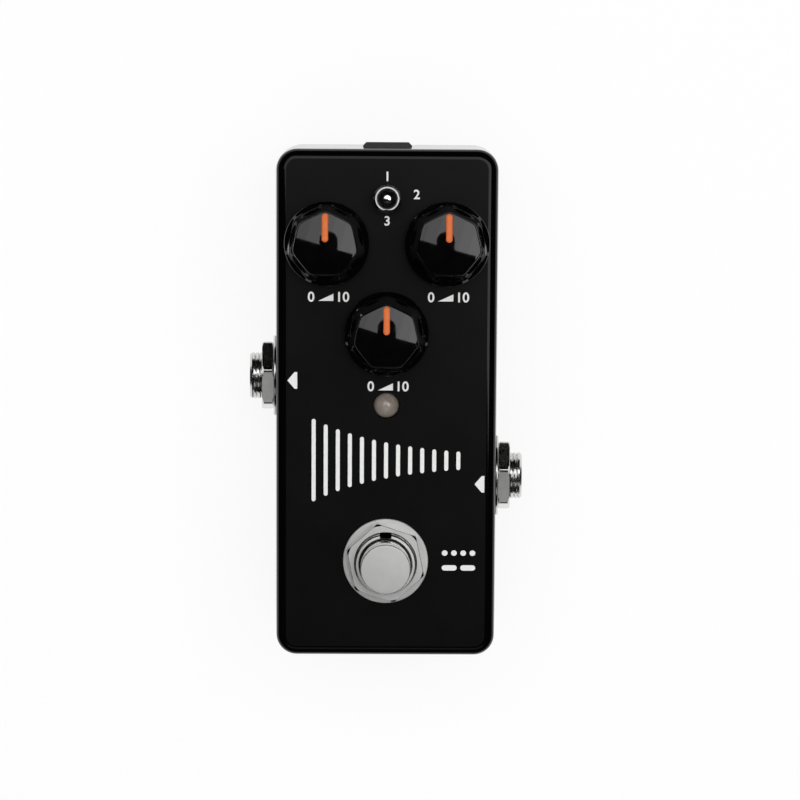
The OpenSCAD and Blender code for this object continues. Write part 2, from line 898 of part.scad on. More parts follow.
module mode_switch_housing() {
  color(ink_black)
    difference() {
      translate([-switch_w / 2, switch_y - switch_l / 2, board_top_z])
        cube([switch_w, switch_l, pot_h]);
      translate([-lever_d / 2 - move_gap, switch_y - switch_slot_l / 2, panel_z - switch_slot_depth])
        cube([lever_d + 2 * move_gap, switch_slot_l, switch_slot_depth + cut]);
    }
}

module mode_switch_bushing() {
  chamfer = 0.35;
  flat_depth = 0.45;
  color(nickel)
    translate([0, switch_y, panel_z])
      difference() {
        bushing_tube(switch_d, panel_t + switch_h, chamfer);
        translate([0, 0, -cut])
          cylinder(d = lever_d + 2 * move_gap, h = panel_t + switch_h);
        translate([0, 0, panel_t + lever_pivot_h])
          cylinder(r1 = lever_d / 2 + lever_side_gap, r2 = switch_mouth_r, h = lever_reach);
        translate([0, 0, panel_t + switch_h - cut / 100])
          cylinder(r = switch_mouth_r, h = cut);
        translate([0, 0, panel_t + lever_pivot_h])
          mirror([0, 0, 1])
            cylinder(
              r1 = lever_d / 2 + lever_side_gap,
              r2 = lever_d / 2 + lever_side_gap + (lever_pivot_h + panel_t + cut) * tan(lever_swing),
              h = lever_pivot_h + panel_t + cut
            );
        translate([-lever_pin_l / 2 - lever_pin_gap, 0, panel_t + lever_pivot_h])
          rotate([0, 90, 0])
            cylinder(d = lever_pin_d + 2 * run_gap, h = lever_pin_l + 2 * lever_pin_gap);
        translate([-switch_d, -switch_d / 2 - cut, panel_t])
          cube([2 * switch_d, cut + flat_depth, switch_h + cut]);
      }
}

module mode_switch_lever() {
  color("silver")
    translate([0, switch_y, top_z + lever_pivot_h]) {
      translate([0, 0, -lever_tail_l])
        cylinder(d = lever_d, h = lever_tail_l + lever_reach);
      translate([0, 0, lever_reach])
        cylinder(d1 = lever_d, d2 = lever_tip_d, h = lever_h - switch_h - lever_tip_d / 2);
      translate([0, 0, lever_h - lever_pivot_h - lever_tip_d / 2])
        sphere(d = lever_tip_d);
      translate([-lever_pin_l / 2, 0, 0])
        rotate([0, 90, 0])
          cylinder(d = lever_pin_d, h = lever_pin_l);
    }
}

// Lamp

module led_lens() {
  rim_h = 1;
  color([0.75, 0.72, 0.68])
    translate([0, led_y, led_low_z]) {
      cylinder(d = led_d + 2 * led_rim, h = rim_h);
      cylinder(d = led_d, h = led_h - led_d / 2);
      translate([0, 0, led_h - led_d / 2])
        sphere(d = led_d);
    }
}

module led_spacer() {
  wall = 0.5 + led_rim;
  color("white")
    translate([0, led_y, board_top_z])
      ring(led_d + 2 * led_rim, led_d + 2 * led_rim - 2 * wall, led_low_z - board_top_z);
}

module led_leads() {
  lead_pitch = 2.54;
  lead_d = 0.6;
  color("silver")
    for (side = [-1, 1])
      translate([side * lead_pitch / 2, led_y, board_top_z])
        cylinder(d = lead_d, h = led_low_z - board_top_z);
}

// Footswitch

module foot_housing() {
  color(ink_black)
    translate([0, foot_y, top_z + foot_top_h - foot_h])
      difference() {
        translate([-foot_w / 2, -foot_l / 2, 0])
          cube([foot_w, foot_l, foot_h]);
        translate([0, 0, foot_floor_t])
          cylinder(d = foot_collar_d + 2 * move_gap, h = foot_h);
      }
}

module foot_bushing() {
  chamfer = 0.4;
  color(nickel)
    translate([0, foot_y, top_z])
      difference() {
        union() {
          translate([-foot_w / 2, -foot_l / 2, foot_top_h])
            cube([foot_w, foot_l, foot_flange_t]);
          translate([0, 0, foot_flange_h])
            bushing_tube(foot_thread_d, foot_thread_h - foot_flange_h, chamfer);
        }
        translate([0, 0, foot_top_h - cut])
          cylinder(d = foot_button_d + 2 * run_gap, h = foot_thread_h - foot_top_h + 2 * cut);
        translate([0, 0, foot_thread_h - 2 * foot_mouth])
          cylinder(
            r1 = foot_button_d / 2 + run_gap, r2 = foot_button_d / 2 + run_gap + foot_mouth, h = 2 * foot_mouth
          );
        translate([-foot_key_w / 2, foot_thread_d / 2 - foot_key_depth, foot_flange_h])
          cube([foot_key_w, foot_key_depth + cut, foot_thread_h - foot_flange_h + cut]);
      }
}

// The push button: a round head, a collar that keeps it in, and a stem that carries the contact
module foot_button() {
  r = foot_button_d / 2;
  color(nickel)
    translate([0, foot_y, top_z]) {
      rotate_extrude() {
        translate([0, foot_collar_h])
          square([r, foot_button_h - foot_button_r - foot_collar_h]);
        square([r - foot_button_r, foot_button_h]);
        translate([r - foot_button_r, foot_button_h - foot_button_r])
          circle(foot_button_r);
        translate([0, foot_collar_h])
          square([foot_collar_d / 2, foot_collar_t]);
      }
      translate([0, 0, foot_disc_h + foot_disc_t])
        cylinder(d = foot_stem_d, h = foot_collar_h - foot_disc_h);
    }
}

module foot_contact() {
  disc_d = spring_d - 2 * spring_wire_d - 2 * move_gap;
  color(brass)
    translate([0, foot_y, top_z + foot_disc_h])
      cylinder(d = disc_d, h = foot_disc_t);
}

// The return spring stands on the housing's floor and reaches up to the button's collar
module foot_spring() {
  turn_steps = 12;
  round_sides = 6;
  end_gap = 0.02;
  rise = foot_collar_h - spring_low_h - spring_wire_d - 2 * end_gap;
  count = spring_turns * turn_steps;
  route = [
    for (i = [0:count])
      [
        spring_mean_r * cos(360 * i / turn_steps),
        spring_mean_r * sin(360 * i / turn_steps),
        spring_wire_d / 2 + end_gap + rise * i / count
      ]
  ];
  echo("least gap between the spring's turns", rise / spring_turns - spring_wire_d);
  color("silver")
    translate([0, foot_y, top_z + spring_low_h])
      swept_tube(route, spring_wire_d, round_sides);
}

module foot_inner_nut() {
  color(nickel)
    translate([0, foot_y, panel_z - foot_nut_t])
      hex_nut(foot_nut_af, foot_nut_t, foot_thread_d + 2 * run_gap);
}

module foot_washer() {
  color(nickel)
    on_panel([0, foot_y])
      ring(foot_washer_d, foot_thread_d + 2 * hole_gap, foot_washer_t);
}

module foot_nut() {
  color(nickel)
    on_panel([0, foot_y])
      translate([0, 0, foot_washer_t])
        rotate(foot_nut_turn)
          hex_nut(foot_nut_af, foot_nut_t, foot_thread_d + 2 * run_gap);
}

module foot_terminals() {
  color(brass)
    for (side = [-1, 1])
      translate([side * terminal_x - terminal_w / 2, foot_y - terminal_t / 2, terminal_z - terminal_l])
        cube([terminal_w, terminal_t, terminal_l]);
}

module foot_wires() {
  color("firebrick")
    for (route = [left_wire_route, right_wire_route])
      swept_tube(smooth_route(route, 3), wire_d, wire_sides);
}

// Signal jacks, each built along +Z out of the wall

module jack_housing() {
  color(ink_black)
    difference() {
      translate([-jack_body_h / 2, -jack_body_w / 2, jack_shoulder_end - jack_body_l])
        cube([jack_body_h, jack_body_w, jack_body_l]);
      translate([0, 0, jack_shoulder_end - jack_body_l + jack_end_t])
        cylinder(d = jack_cavity_d, h = jack_body_l);
    }
}

module jack_bushing() {
  chamfer = 0.5;
  shoulder_step = 0.3;
  shoulder_d = min(jack_body_h, jack_body_w) - 2 * shoulder_step;
  color(nickel)
    difference() {
      union() {
        translate([0, 0, jack_shoulder_end])
          cylinder(d = shoulder_d, h = jack_shoulder_t);
        translate([0, 0, -wall_t - seat_gap])
          bushing_tube(jack_thread_d, wall_t + seat_gap + jack_thread_l, chamfer);
      }
      translate([0, 0, jack_shoulder_end - cut])
        cylinder(d = jack_hole_d, h = jack_thread_l - jack_shoulder_end + 2 * cut);
    }
}

// A flat spring inside the housing, against the cavity's wall, that meets the plug's tip
module jack_contact() {
  contact_w = 2.4;
  contact_t = 0.9;
  contact_l = 8;
  color(brass)
    intersection() {
      translate([-jack_cavity_d / 2, -contact_w / 2, jack_shoulder_end - jack_body_l + jack_end_t])
        cube([contact_t, contact_w, contact_l]);
      translate([0, 0, jack_shoulder_end - jack_body_l + jack_end_t])
        cylinder(d = jack_cavity_d, h = contact_l);
    }
}

module output_jack_housing() {
  at_output_jack()
    jack_housing();
}

module output_jack_bushing() {
  at_output_jack()
    jack_bushing();
}

module output_jack_contact() {
  at_output_jack()
    jack_contact();
}

module input_jack_housing() {
  at_input_jack()
    jack_housing();
}

module input_jack_bushing() {
  at_input_jack()
    jack_bushing();
}

module input_jack_contact() {
  at_input_jack()
    jack_contact();
}

module jack_washers() {
  color(nickel) {
    at_output_jack()
      ring(jack_washer_d, jack_thread_d + 2 * hole_gap, jack_washer_t);
    at_input_jack()
      ring(jack_washer_d, jack_thread_d + 2 * hole_gap, jack_washer_t);
  }
}

module jack_nuts() {
  color(nickel) {
    at_output_jack()
      translate([0, 0, jack_washer_t])
        rotate(output_nut_turn)
          hex_nut(jack_nut_af, jack_nut_t, jack_thread_d + 2 * run_gap);
    at_input_jack()
      translate([0, 0, jack_washer_t])
        rotate(input_nut_turn)
          hex_nut(jack_nut_af, jack_nut_t, jack_thread_d + 2 * run_gap);
  }
}

// Solder pins from the board down to just above each jack's sloping top
module jack_pins() {
  pin_inset = 2;
  pin_spread = jack_body_w / 2 - pin_inset;
  color("silver")
    for (jack = [[-1, output_y], [1, input_y]], step = [0:len(jack_pin_in) - 1]) {
      inward = jack_pin_in[step] - jack_shoulder_end;
      side_step = step == 1 ? -pin_spread : pin_spread;
      top_drop = (inward * sin(draft_deg) - jack_body_h / 2 * (cos(draft_deg) - 1)) + jack_board_gap;
      x = jack[0] * (wall_x(jack_z) - inward * cos(draft_deg) - jack_body_h / 2 * sin(draft_deg));
      translate([x, jack[1] + side_step, board_z - top_drop + jack_pin_gap])
        cylinder(d = jack_pin_d, h = top_drop - jack_pin_gap);
    }
}

// Power jack, built along +Z to the rear, with +Y down

module power_jack_housing() {
  nose_w = power_w / 2;
  nose_h = power_nose_h / 2;
  top_step = power_drop + nose_h;
  color(ink_black)
    at_power_jack()
      difference() {
        union() {
          translate([0, nose_h, 0])
            rotate([90, 0, 0])
              linear_extrude(power_nose_h)
                polygon([
                  [-nose_w, power_proud - power_l],
                  [nose_w, power_proud - power_l],
                  [nose_w, power_proud - power_bevel],
                  [nose_w - power_bevel, power_proud],
                  [-nose_w + power_bevel, power_proud],
                  [-nose_w, power_proud - power_bevel]
                ]);
          translate([-nose_w, -top_step, -power_l + power_proud])
            cube([power_w, top_step, power_l - power_proud - 2 * wall_t - board_gap]);
        }
        translate([0, 0, power_proud - power_hole_l])
          cylinder(d = power_hole_d, h = power_hole_l + cut);
      }
}

module power_jack_pin() {
  pin_back = 1.5;
  pin_l = power_hole_l - pin_back;
  color(nickel)
    at_power_jack()
      translate([0, 0, power_proud - power_hole_l]) {
        cylinder(d = power_pin_d, h = pin_l);
        translate([0, 0, pin_l])
          sphere(d = power_pin_d);
      }
}

// A flat spring along the floor of the plug's hole
module power_jack_contact() {
  contact_w = 2;
  contact_t = 0.7;
  contact_back = 3;
  contact_l = power_hole_l - contact_back;
  color(nickel)
    at_power_jack()
      intersection() {
        translate([-contact_w / 2, power_hole_d / 2 - contact_t, power_proud - power_hole_l])
          cube([contact_w, contact_t + cut, contact_l]);
        translate([0, 0, power_proud - power_hole_l])
          cylinder(d = power_hole_d, h = power_hole_l);
      }
}

enclosure();
base_plate();
base_screws();
rubber_pad();
main_board();
processor_chip();
memory_chip();
audio_chips();
capacitors();
regulator();
pot(TIME);  // time_pot
pot(REPEAT);  // repeat_pot
pot(MIX);  // mix_pot
pot_shaft(TIME);  // time_shaft
pot_shaft(REPEAT);  // repeat_shaft
pot_shaft(MIX);  // mix_shaft
pot_washers();
pot_nuts();
pot_pins();
knob(TIME);  // time_knob
knob(REPEAT);  // repeat_knob
knob(MIX);  // mix_knob
pointer(TIME);  // time_pointer
pointer(REPEAT);  // repeat_pointer
pointer(MIX);  // mix_pointer
mode_switch_housing();
mode_switch_bushing();
mode_switch_lever();
led_lens();
led_spacer();
led_leads();
foot_housing();
foot_bushing();
foot_button();
foot_spring();
foot_contact();
foot_inner_nut();
foot_washer();
foot_nut();
foot_terminals();
foot_wires();
output_jack_housing();
output_jack_bushing();
output_jack_contact();
input_jack_housing();
input_jack_bushing();
input_jack_contact();
jack_washers();
jack_nuts();
jack_pins();
power_jack_housing();
power_jack_pin();
power_jack_contact();
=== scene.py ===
"""The looks of the delay pedal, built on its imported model, in metres and in the model's own frame."""
import json
import math

import bpy
import numpy as np
from mathutils import Matrix, Vector


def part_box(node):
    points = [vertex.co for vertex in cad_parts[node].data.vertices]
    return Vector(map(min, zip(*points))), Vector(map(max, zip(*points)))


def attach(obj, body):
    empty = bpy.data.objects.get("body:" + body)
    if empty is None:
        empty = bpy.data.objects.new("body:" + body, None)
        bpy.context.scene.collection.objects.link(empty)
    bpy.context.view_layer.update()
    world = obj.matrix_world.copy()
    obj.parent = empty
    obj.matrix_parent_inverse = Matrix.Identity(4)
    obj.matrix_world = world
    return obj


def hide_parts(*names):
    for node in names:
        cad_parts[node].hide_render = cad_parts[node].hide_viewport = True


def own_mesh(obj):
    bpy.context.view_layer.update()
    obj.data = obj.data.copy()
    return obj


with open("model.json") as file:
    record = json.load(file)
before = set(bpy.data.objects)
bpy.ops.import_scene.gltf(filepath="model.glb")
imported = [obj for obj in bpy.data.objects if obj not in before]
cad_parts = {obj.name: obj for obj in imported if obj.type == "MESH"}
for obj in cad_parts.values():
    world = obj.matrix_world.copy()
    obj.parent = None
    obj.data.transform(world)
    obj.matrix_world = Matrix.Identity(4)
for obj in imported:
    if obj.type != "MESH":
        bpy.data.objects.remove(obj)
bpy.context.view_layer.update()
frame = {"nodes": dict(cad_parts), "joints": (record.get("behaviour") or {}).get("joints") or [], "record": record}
nodes = frame["nodes"]

MM = 0.001
TURN = 2 * math.pi


def centre_of(node):
    low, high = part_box(node)
    return (low + high) / 2


def size_of(node):
    low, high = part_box(node)
    return high - low


# Places on the panel, from the model
TOP_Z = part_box("enclosure")[1].z
FOOT = centre_of("foot_washer")
SWITCH = centre_of("mode_switch_bushing")
DIALS = ("time", "repeat", "mix")
JACKS = ("output_jack", "input_jack")

# The keyway in the footswitch's bushing: its width, and how far its floor is from the axis
KEY_W = 2.3 * MM
KEY_FLOOR = 5.3 * MM

# Room between a thread and the nut or washer on it, and the small radius at which turned shapes end
NUT_PLAY = 0.06 * MM
WASHER_PLAY = 0.15 * MM
AXIS_R = 0.02 * MM


# Shapes: each is a pair of an array of points and a list of faces

def turn_angles(count):
    return np.arange(count) * TURN / count


def ring(radius, z, angles):
    """A closed ring of points round the Z axis. The radius and z are numbers, or one for each angle."""
    return np.stack([radius * np.cos(angles), radius * np.sin(angles), z + 0 * angles], axis=1)


def loft(rings, looped=False):
    """Joins rings of equal length. It ends in flat caps, or loops from its last to its first."""
    count = len(rings[0])
    legs = len(rings) if looped else len(rings) - 1
    faces = []
    for i in range(legs):
        low = i * count
        high = (i + 1) % len(rings) * count
        for k in range(count):
            after = (k + 1) % count
            faces.append((low + k, low + after, high + after, high + k))
    if not looped:
        top = (len(rings) - 1) * count
        faces.append(tuple(range(count - 1, -1, -1)))
        faces.append(tuple(range(top, top + count)))
    return np.concatenate(rings), faces


def rounded(corners, closed=False, steps=4):
    """A profile through corners (r, z, setback). Each corner is a curve that starts at its setback."""
    profile = []
    for i, (r, z, setback) in enumerate(corners):
        here = np.array([r, z])
        open_end = not closed and i in (0, len(corners) - 1)
        if open_end or setback == 0:
            profile.append(here)
            continue
        before = np.array(corners[i - 1][:2]) - here
        after = np.array(corners[(i + 1) % len(corners)][:2]) - here
        first = here + before / np.linalg.norm(before) * setback
        last = here + after / np.linalg.norm(after) * setback
        for s in np.linspace(0, 1, steps + 1):
            profile.append((1 - s) ** 2 * first + 2 * s * (1 - s) * here + s ** 2 * last)
    return profile


def lathe(corners, closed=False, segments=96):
    """A turned shape: its profile runs up the outside, and then in over the top."""
    angles = turn_angles(segments)
    rings = [ring(r, z, angles) for r, z in rounded(corners, closed)]
    return loft(rings, looped=closed)


def polygon_radius(angles, sides, ridge_r, flat_r, first_flat, sharpness):
    """The radius of a polygon with rounded ridges, at each angle."""
    step = TURN / sides
    off = (angles - first_flat + step / 2) % step - step / 2
    flats = flat_r / np.cos(off) / ridge_r
    return ridge_r * (flats ** -sharpness + 1) ** (-1 / sharpness)


def moved(shape, matrix):
    points, faces = shape
    turn = np.array(matrix.to_3x3())
    return points @ turn.T + np.array(matrix.translation), faces


def joined(*shapes):
    points, faces = [], []
    start = 0
    for more_points, more_faces in shapes:
        points.append(more_points)
        faces += [tuple(start + i for i in face) for face in more_faces]
        start += len(more_points)
    return np.concatenate(points), faces


def thread_rings(angles, radius, depth, pitch, low, high, crest):
    """Rings of a screw thread round the Z axis, from low to high. Its crest fills a share of the pitch."""
    rows_per_pitch = 10
    root = 0.9
    rows = max(2, int((high - low) / pitch * rows_per_pitch))
    rings = []
    for z in np.linspace(low, high, rows):
        place = (z / pitch - angles / TURN) % 1
        run_out = min(1, (high - z) / pitch * 2)
        groove = np.clip((abs(2 * place - 1) - crest) / (root - crest), 0, 1) * run_out
        rings.append(ring(radius - depth * groove, z, angles))
    return rings


def hex_nut(across, height, bore_r, face_r, turn):
    """A hex nut that stands on z = 0, with corners chamfered outside a round face, and eased edges."""
    chamfer_slope = math.tan(math.radians(30))
    ease = 0.07 * MM
    lead = 0.2 * MM
    lead_depth = 0.9 * MM
    sharpness = 160
    corner_trim = 0.99
    points_per_side = 30
    angles = turn_angles(6 * points_per_side)
    flat = turn + math.radians(30)
    corner_r = across / math.sqrt(3) * corner_trim
    outer = polygon_radius(angles, 6, corner_r, across / 2, flat, sharpness)
    drop = ease + np.maximum(0, outer - face_r) * chamfer_slope
    face_r = np.minimum(face_r, outer - ease)
    rings = [
        ring(bore_r + lead, 0, angles),
        ring(face_r, 0, angles),
        ring(outer, drop, angles),
        ring(outer, height - drop, angles),
        ring(face_r, height, angles),
        ring(bore_r + lead, height, angles),
        ring(bore_r, height - lead_depth, angles),
        ring(bore_r, lead_depth, angles),
    ]
    return loft(rings, looped=True)


def washer(outer_r, inner_r, height):
    ease = 0.12 * MM
    return lathe([
        (inner_r, 0, 0), (outer_r, 0, ease), (outer_r, height, ease * 1.5), (inner_r, height, ease),
    ], closed=True, segments=128)


def plate(outline, low, high):
    """A flat plate from a list of (x, y) points that run anticlockwise."""
    outline = np.array(outline)
    rings = [np.column_stack([outline, np.full(len(outline), z)]) for z in (low, high)]
    return loft(rings)


def tube(route, radius, sides):
    """A round tube along a list of points."""
    off_route = (0.3, 0.2, 0.9)
    route = np.array(route)
    ahead = np.gradient(route, axis=0)
    ahead /= np.linalg.norm(ahead, axis=1)[:, None]
    side = np.cross(ahead[0], off_route)
    angles = turn_angles(sides)[:, None]
    rings = []
    for place, way in zip(route, ahead):
        side = side - way * side.dot(way)
        side /= np.linalg.norm(side)
        up = np.cross(way, side)
        rings.append(place + radius * (np.cos(angles) * side + np.sin(angles) * up))
    return loft(rings)


def mount_matrix(name):
    """Takes local +Z to a mount's axis and local +Y to the rear."""
    mount = next(m for m in frame["record"]["mounts"] if m["name"] == name)
    out = Vector(mount["axis"]).normalized()
    rear = Vector((0, 1, 0))
    across = rear.cross(out)
    turn = Matrix((across, rear, out)).transposed().to_4x4()
    return Matrix.Translation(mount["pos_m"]) @ turn


# Materials: node-based, in the model's own coordinates

def add_node(tree, kind, inputs=None, **settings):
    node = tree.nodes.new("ShaderNode" + kind)
    for name, value in settings.items():
        setattr(node, name, value)
    for name, value in (inputs or {}).items():
        if isinstance(value, bpy.types.NodeSocket):
            tree.links.new(value, node.inputs[name])
        else:
            node.inputs[name].default_value = value
    return node


def new_material(name, **values):
    """A material and its shader, with the shader's plain values set on its own sockets."""
    made = bpy.data.materials.new(name)
    made.use_nodes = True
    shader = made.node_tree.nodes["Principled BSDF"]
    for socket, value in values.items():
        name_on_shader = socket.replace("_", " ").title().replace("Ior", "IOR")
        shader.inputs[name_on_shader].default_value = value
    return made, made.node_tree, shader


def grey(shade):
    return (shade,) * 3


def noise(tree, patch, detail=3):
    """Noise whose patches are about that many metres across."""
    place = add_node(tree, "TexCoord")
    inputs = {"Vector": place.outputs["Object"], "Scale": 1 / patch, "Detail": detail}
    return add_node(tree, "TexNoise", inputs).outputs["Fac"]


def ranged(tree, value, low, high):
    """Spreads the middle of the noise, where most of it lies, between two numbers."""
    inputs = {"Value": value, "From Min": 0.3, "From Max": 0.7, "To Min": low, "To Max": high}
    return add_node(tree, "MapRange", inputs).outputs["Result"]


def set_colour(tree, shader, factor, first, second):
    """Mixes two colours by a factor. The node has sockets of several types: the colour ones are used."""
    mix = add_node(tree, "Mix", {"Factor": factor}, data_type="RGBA")
    colour_in = [s for s in mix.inputs if s.type == "RGBA"]
    colour_in[0].default_value = (*first, 1)
    colour_in[1].default_value = (*second, 1)
    colour_out = next(s for s in mix.outputs if s.type == "RGBA")
    tree.links.new(colour_out, shader.inputs["Base Color"])


def set_patches(tree, shader, patch, first, second):
    """Mixes two colours in soft patches."""
    set_colour(tree, shader, ranged(tree, noise(tree, patch), 0, 1), first, second)


def set_roughness(tree, shader, low, high, patch):
    wander = noise(tree, patch, detail=4)
    tree.links.new(ranged(tree, wander, low, high), shader.inputs["Roughness"])


def set_bump(tree, shader, height, distance):
    bump = add_node(tree, "Bump", {"Height": height, "Distance": distance})
    tree.links.new(bump.outputs["Normal"], shader.inputs["Normal"])


def plain_finish(name, first, second, rough, patch, bump, metallic=0.0):
    """A finish whose colour, roughness and surface wander a little at one scale."""
    made, tree, shader = new_material(name, metallic=metallic)
    set_patches(tree, shader, patch * 4, first, second)
    set_roughness(tree, shader, *rough, patch * 2)
    set_bump(tree, shader, noise(tree, patch), bump)
    return made


def black_paint(name, shade, rough, level):
    """Black paint with a faint orange peel."""
    made, tree, shader = new_material(name, specular_ior_level=level)
    set_patches(tree, shader, 9 * MM, grey(shade * 0.85), grey(shade * 1.15))
    set_roughness(tree, shader, rough - 0.02, rough + 0.02, 6 * MM)
    set_bump(tree, shader, noise(tree, 0.5 * MM, detail=2), 0.0006 * MM)
    return made


PLATING_PATCH = 0.4 * MM
PLATING_BUMP = 0.0001 * MM
PLATING_WANDER = 0.03


def nickel(name, rough, tone=0.84, metallic=1.0):
    first = (tone, tone, tone - 0.01)
    second = (tone + 0.04, tone + 0.04, tone + 0.03)
    rough_range = (rough - PLATING_WANDER, rough + PLATING_WANDER)
    return plain_finish(name, first, second, rough_range, PLATING_PATCH, PLATING_BUMP, metallic)


def nickel_with_painted_keyway_shade(name, rough, metallic):
    """Nickel with painted shade: its colour is near black down in the footswitch's keyway."""
    key_low = FOOT.y + KEY_FLOOR - 0.1 * MM
    made, tree, shader = new_material(name, metallic=metallic)
    set_roughness(tree, shader, rough - PLATING_WANDER, rough + PLATING_WANDER, PLATING_PATCH * 2)
    set_bump(tree, shader, noise(tree, PLATING_PATCH), PLATING_BUMP)
    place = add_node(tree, "TexCoord")
    axes = add_node(tree, "SeparateXYZ", {"Vector": place.outputs["Object"]})
    aside = add_node(tree, "Math", {0: axes.outputs["X"], 1: FOOT.x, 2: KEY_W / 2}, operation="COMPARE")
    behind = add_node(tree, "Math", {0: axes.outputs["Y"], 1: key_low}, operation="GREATER_THAN")
    painted_keyway_shade = add_node(tree, "Math", {0: aside.outputs[0], 1: behind.outputs[0]}, operation="MULTIPLY")
    # Painted shade: inside the keyway the colour is near black, where the recess would be in shade
    set_colour(tree, shader, painted_keyway_shade.outputs[0], (0.86, 0.86, 0.85), grey(0.01))
    return made


def lamp_lens():
    """A milky lens with a clear gloss."""
    made, tree, shader = new_material(
        "lamp_lens", subsurface_weight=0.35, subsurface_scale=0.8 * MM, specular_ior_level=1.0
    )
    set_patches(tree, shader, 1.2 * MM, (0.2, 0.17, 0.145), (0.25, 0.215, 0.19))
    set_roughness(tree, shader, 0.1, 0.14, 0.6 * MM)
    set_bump(tree, shader, noise(tree, 0.15 * MM), 0.0005 * MM)
    return made


def board_green():
    """Solder mask over a faint grid of copper tracks."""
    made, tree, shader = new_material("board_green")
    place = add_node(tree, "TexCoord")
    inputs = {"Vector": place.outputs["Object"], "Scale": 450, "Mortar Size": 0.08, "Brick Width": 1.8}
    tracks = add_node(tree, "TexBrick", inputs)
    set_colour(tree, shader, tracks.outputs["Fac"], (0.006, 0.09, 0.035), (0.012, 0.16, 0.06))
    set_roughness(tree, shader, 0.25, 0.4, 2 * MM)
    set_bump(tree, shader, tracks.outputs["Fac"], 0.02 * MM)
    return made


# Two colours, the range of roughness, the patch size, the bump, and 1.0 at the end for a metal
PLAIN_FINISHES = {
    "pad_rubber": (grey(0.012), grey(0.02), (0.7, 0.9), 0.3 * MM, 0.03 * MM),
    "screw_steel": (grey(0.5), grey(0.6), (0.25, 0.4), 0.2 * MM, 0.003 * MM, 1.0),
    "chip_plastic": (grey(0.02), grey(0.03), (0.5, 0.65), 0.1 * MM, 0.005 * MM),
    "can_aluminium": (grey(0.65), grey(0.75), (0.3, 0.4), 0.2 * MM, 0.002 * MM, 1.0),
    "pot_metal": (grey(0.42), grey(0.5), (0.35, 0.5), 0.3 * MM, 0.003 * MM, 1.0),
    "knob_plastic": (grey(0.001), grey(0.0016), (0.04, 0.08), 0.8 * MM, 0.0003 * MM),
    "pointer_orange": ((0.66, 0.14, 0.022), (0.6, 0.115, 0.018), (0.55, 0.65), 0.2 * MM, 0.002 * MM),
    "housing_plastic": (grey(0.006), grey(0.01), (0.35, 0.5), 0.12 * MM, 0.004 * MM),
    "polished_chrome": (grey(0.82), grey(0.86), (0.1, 0.15), PLATING_PATCH, PLATING_BUMP, 1.0),
    "spacer_plastic": (grey(0.75), grey(0.8), (0.4, 0.5), 0.3 * MM, 0.003 * MM),
    "contact_brass": ((0.72, 0.5, 0.22), (0.78, 0.56, 0.26), (0.2, 0.35), 0.3 * MM, 0.002 * MM, 1.0),
    "wire_insulation": ((0.35, 0.02, 0.02), (0.42, 0.03, 0.03), (0.35, 0.5), 0.3 * MM, 0.003 * MM),
    "white_ink": ((0.74, 0.74, 0.73), (0.68, 0.68, 0.67), (0.4, 0.55), 0.15 * MM, 0.002 * MM),
}

# The finish of each slot in the record, and those that only the scene's own pieces have
FINISHES = {name: plain_finish(name, *values) for name, values in PLAIN_FINISHES.items()}
WHITE_INK = FINISHES.pop("white_ink")
FINISHES["chrome"] = FINISHES.pop("polished_chrome")
FINISHES["nickel"] = nickel("satin_nickel", 0.62, 0.88, 0.92)
FINISHES["black_paint"] = black_paint("gloss_paint", 0.001, 0.08, 0.2)
FINISHES["board"] = board_green()
FINISHES["lens"] = lamp_lens()
SATIN_PAINT = black_paint("satin_paint", 0.0023, 0.35, 0.11)
BRIGHT_NICKEL = nickel("bright_nickel", 0.22)
JACK_NICKEL = nickel("jack_nickel", 0.2, 0.66)
# Nickel for the footswitch's bushing, with painted shade down in its keyway
SATIN_NICKEL_WITH_PAINTED_KEYWAY_SHADE = nickel_with_painted_keyway_shade("satin_nickel_with_painted_keyway_shade", 0.55, 0.85)
BRIGHT_NICKEL_WITH_PAINTED_KEYWAY_SHADE = nickel_with_painted_keyway_shade("nickel_with_painted_keyway_shade", 0.24, 1.0)


def paint_model():
    """Gives every node of the model the finish of its slot, and the top of the shell a satin one."""
    skin = 0.001 * MM
    for part in frame["record"]["subparts"]:
        data = nodes[part["node"]].data
        data.materials.clear()
        data.materials.append(FINISHES[part["material_slot"]])
    shell = nodes["enclosure"].data
    shell.materials.append(SATIN_PAINT)
    for face in shell.polygons:
        if face.center.z > TOP_Z - skin:
            face.material_index = 1


def add_piece(name, shape, body, finish, stands_for=(), sharp_deg=35):
    """Makes a piece of the object from a shape, with smooth faces that break at sharp edges."""
    points, faces = shape
    data = bpy.data.meshes.new(name)
    data.from_pydata(points.tolist(), [], faces)
    data.polygons.foreach_set("use_smooth", [True] * len(data.polygons))
    data.set_sharp_from_angle(angle=math.radians(sharp_deg))
    data.materials.append(finish)
    piece = bpy.data.objects.new(name, data)
    bpy.context.scene.collection.objects.link(piece)
    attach(piece, body)
    if stands_for:
        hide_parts(*stands_for)
    return piece


def polish_sides(piece, finish):
    """Gives a second finish to the faces of a piece that aren't level."""
    level = 0.97
    piece.data.materials.append(finish)
    for face in piece.data.polygons:
        if abs(face.normal.z) < level:
            face.material_index = 1


def add_slot_piece(name, shape, body, slot, stands_for=(), sharp_deg=35):
    return add_piece(name, shape, body, FINISHES[slot], stands_for, sharp_deg)


# Knobs and pointers

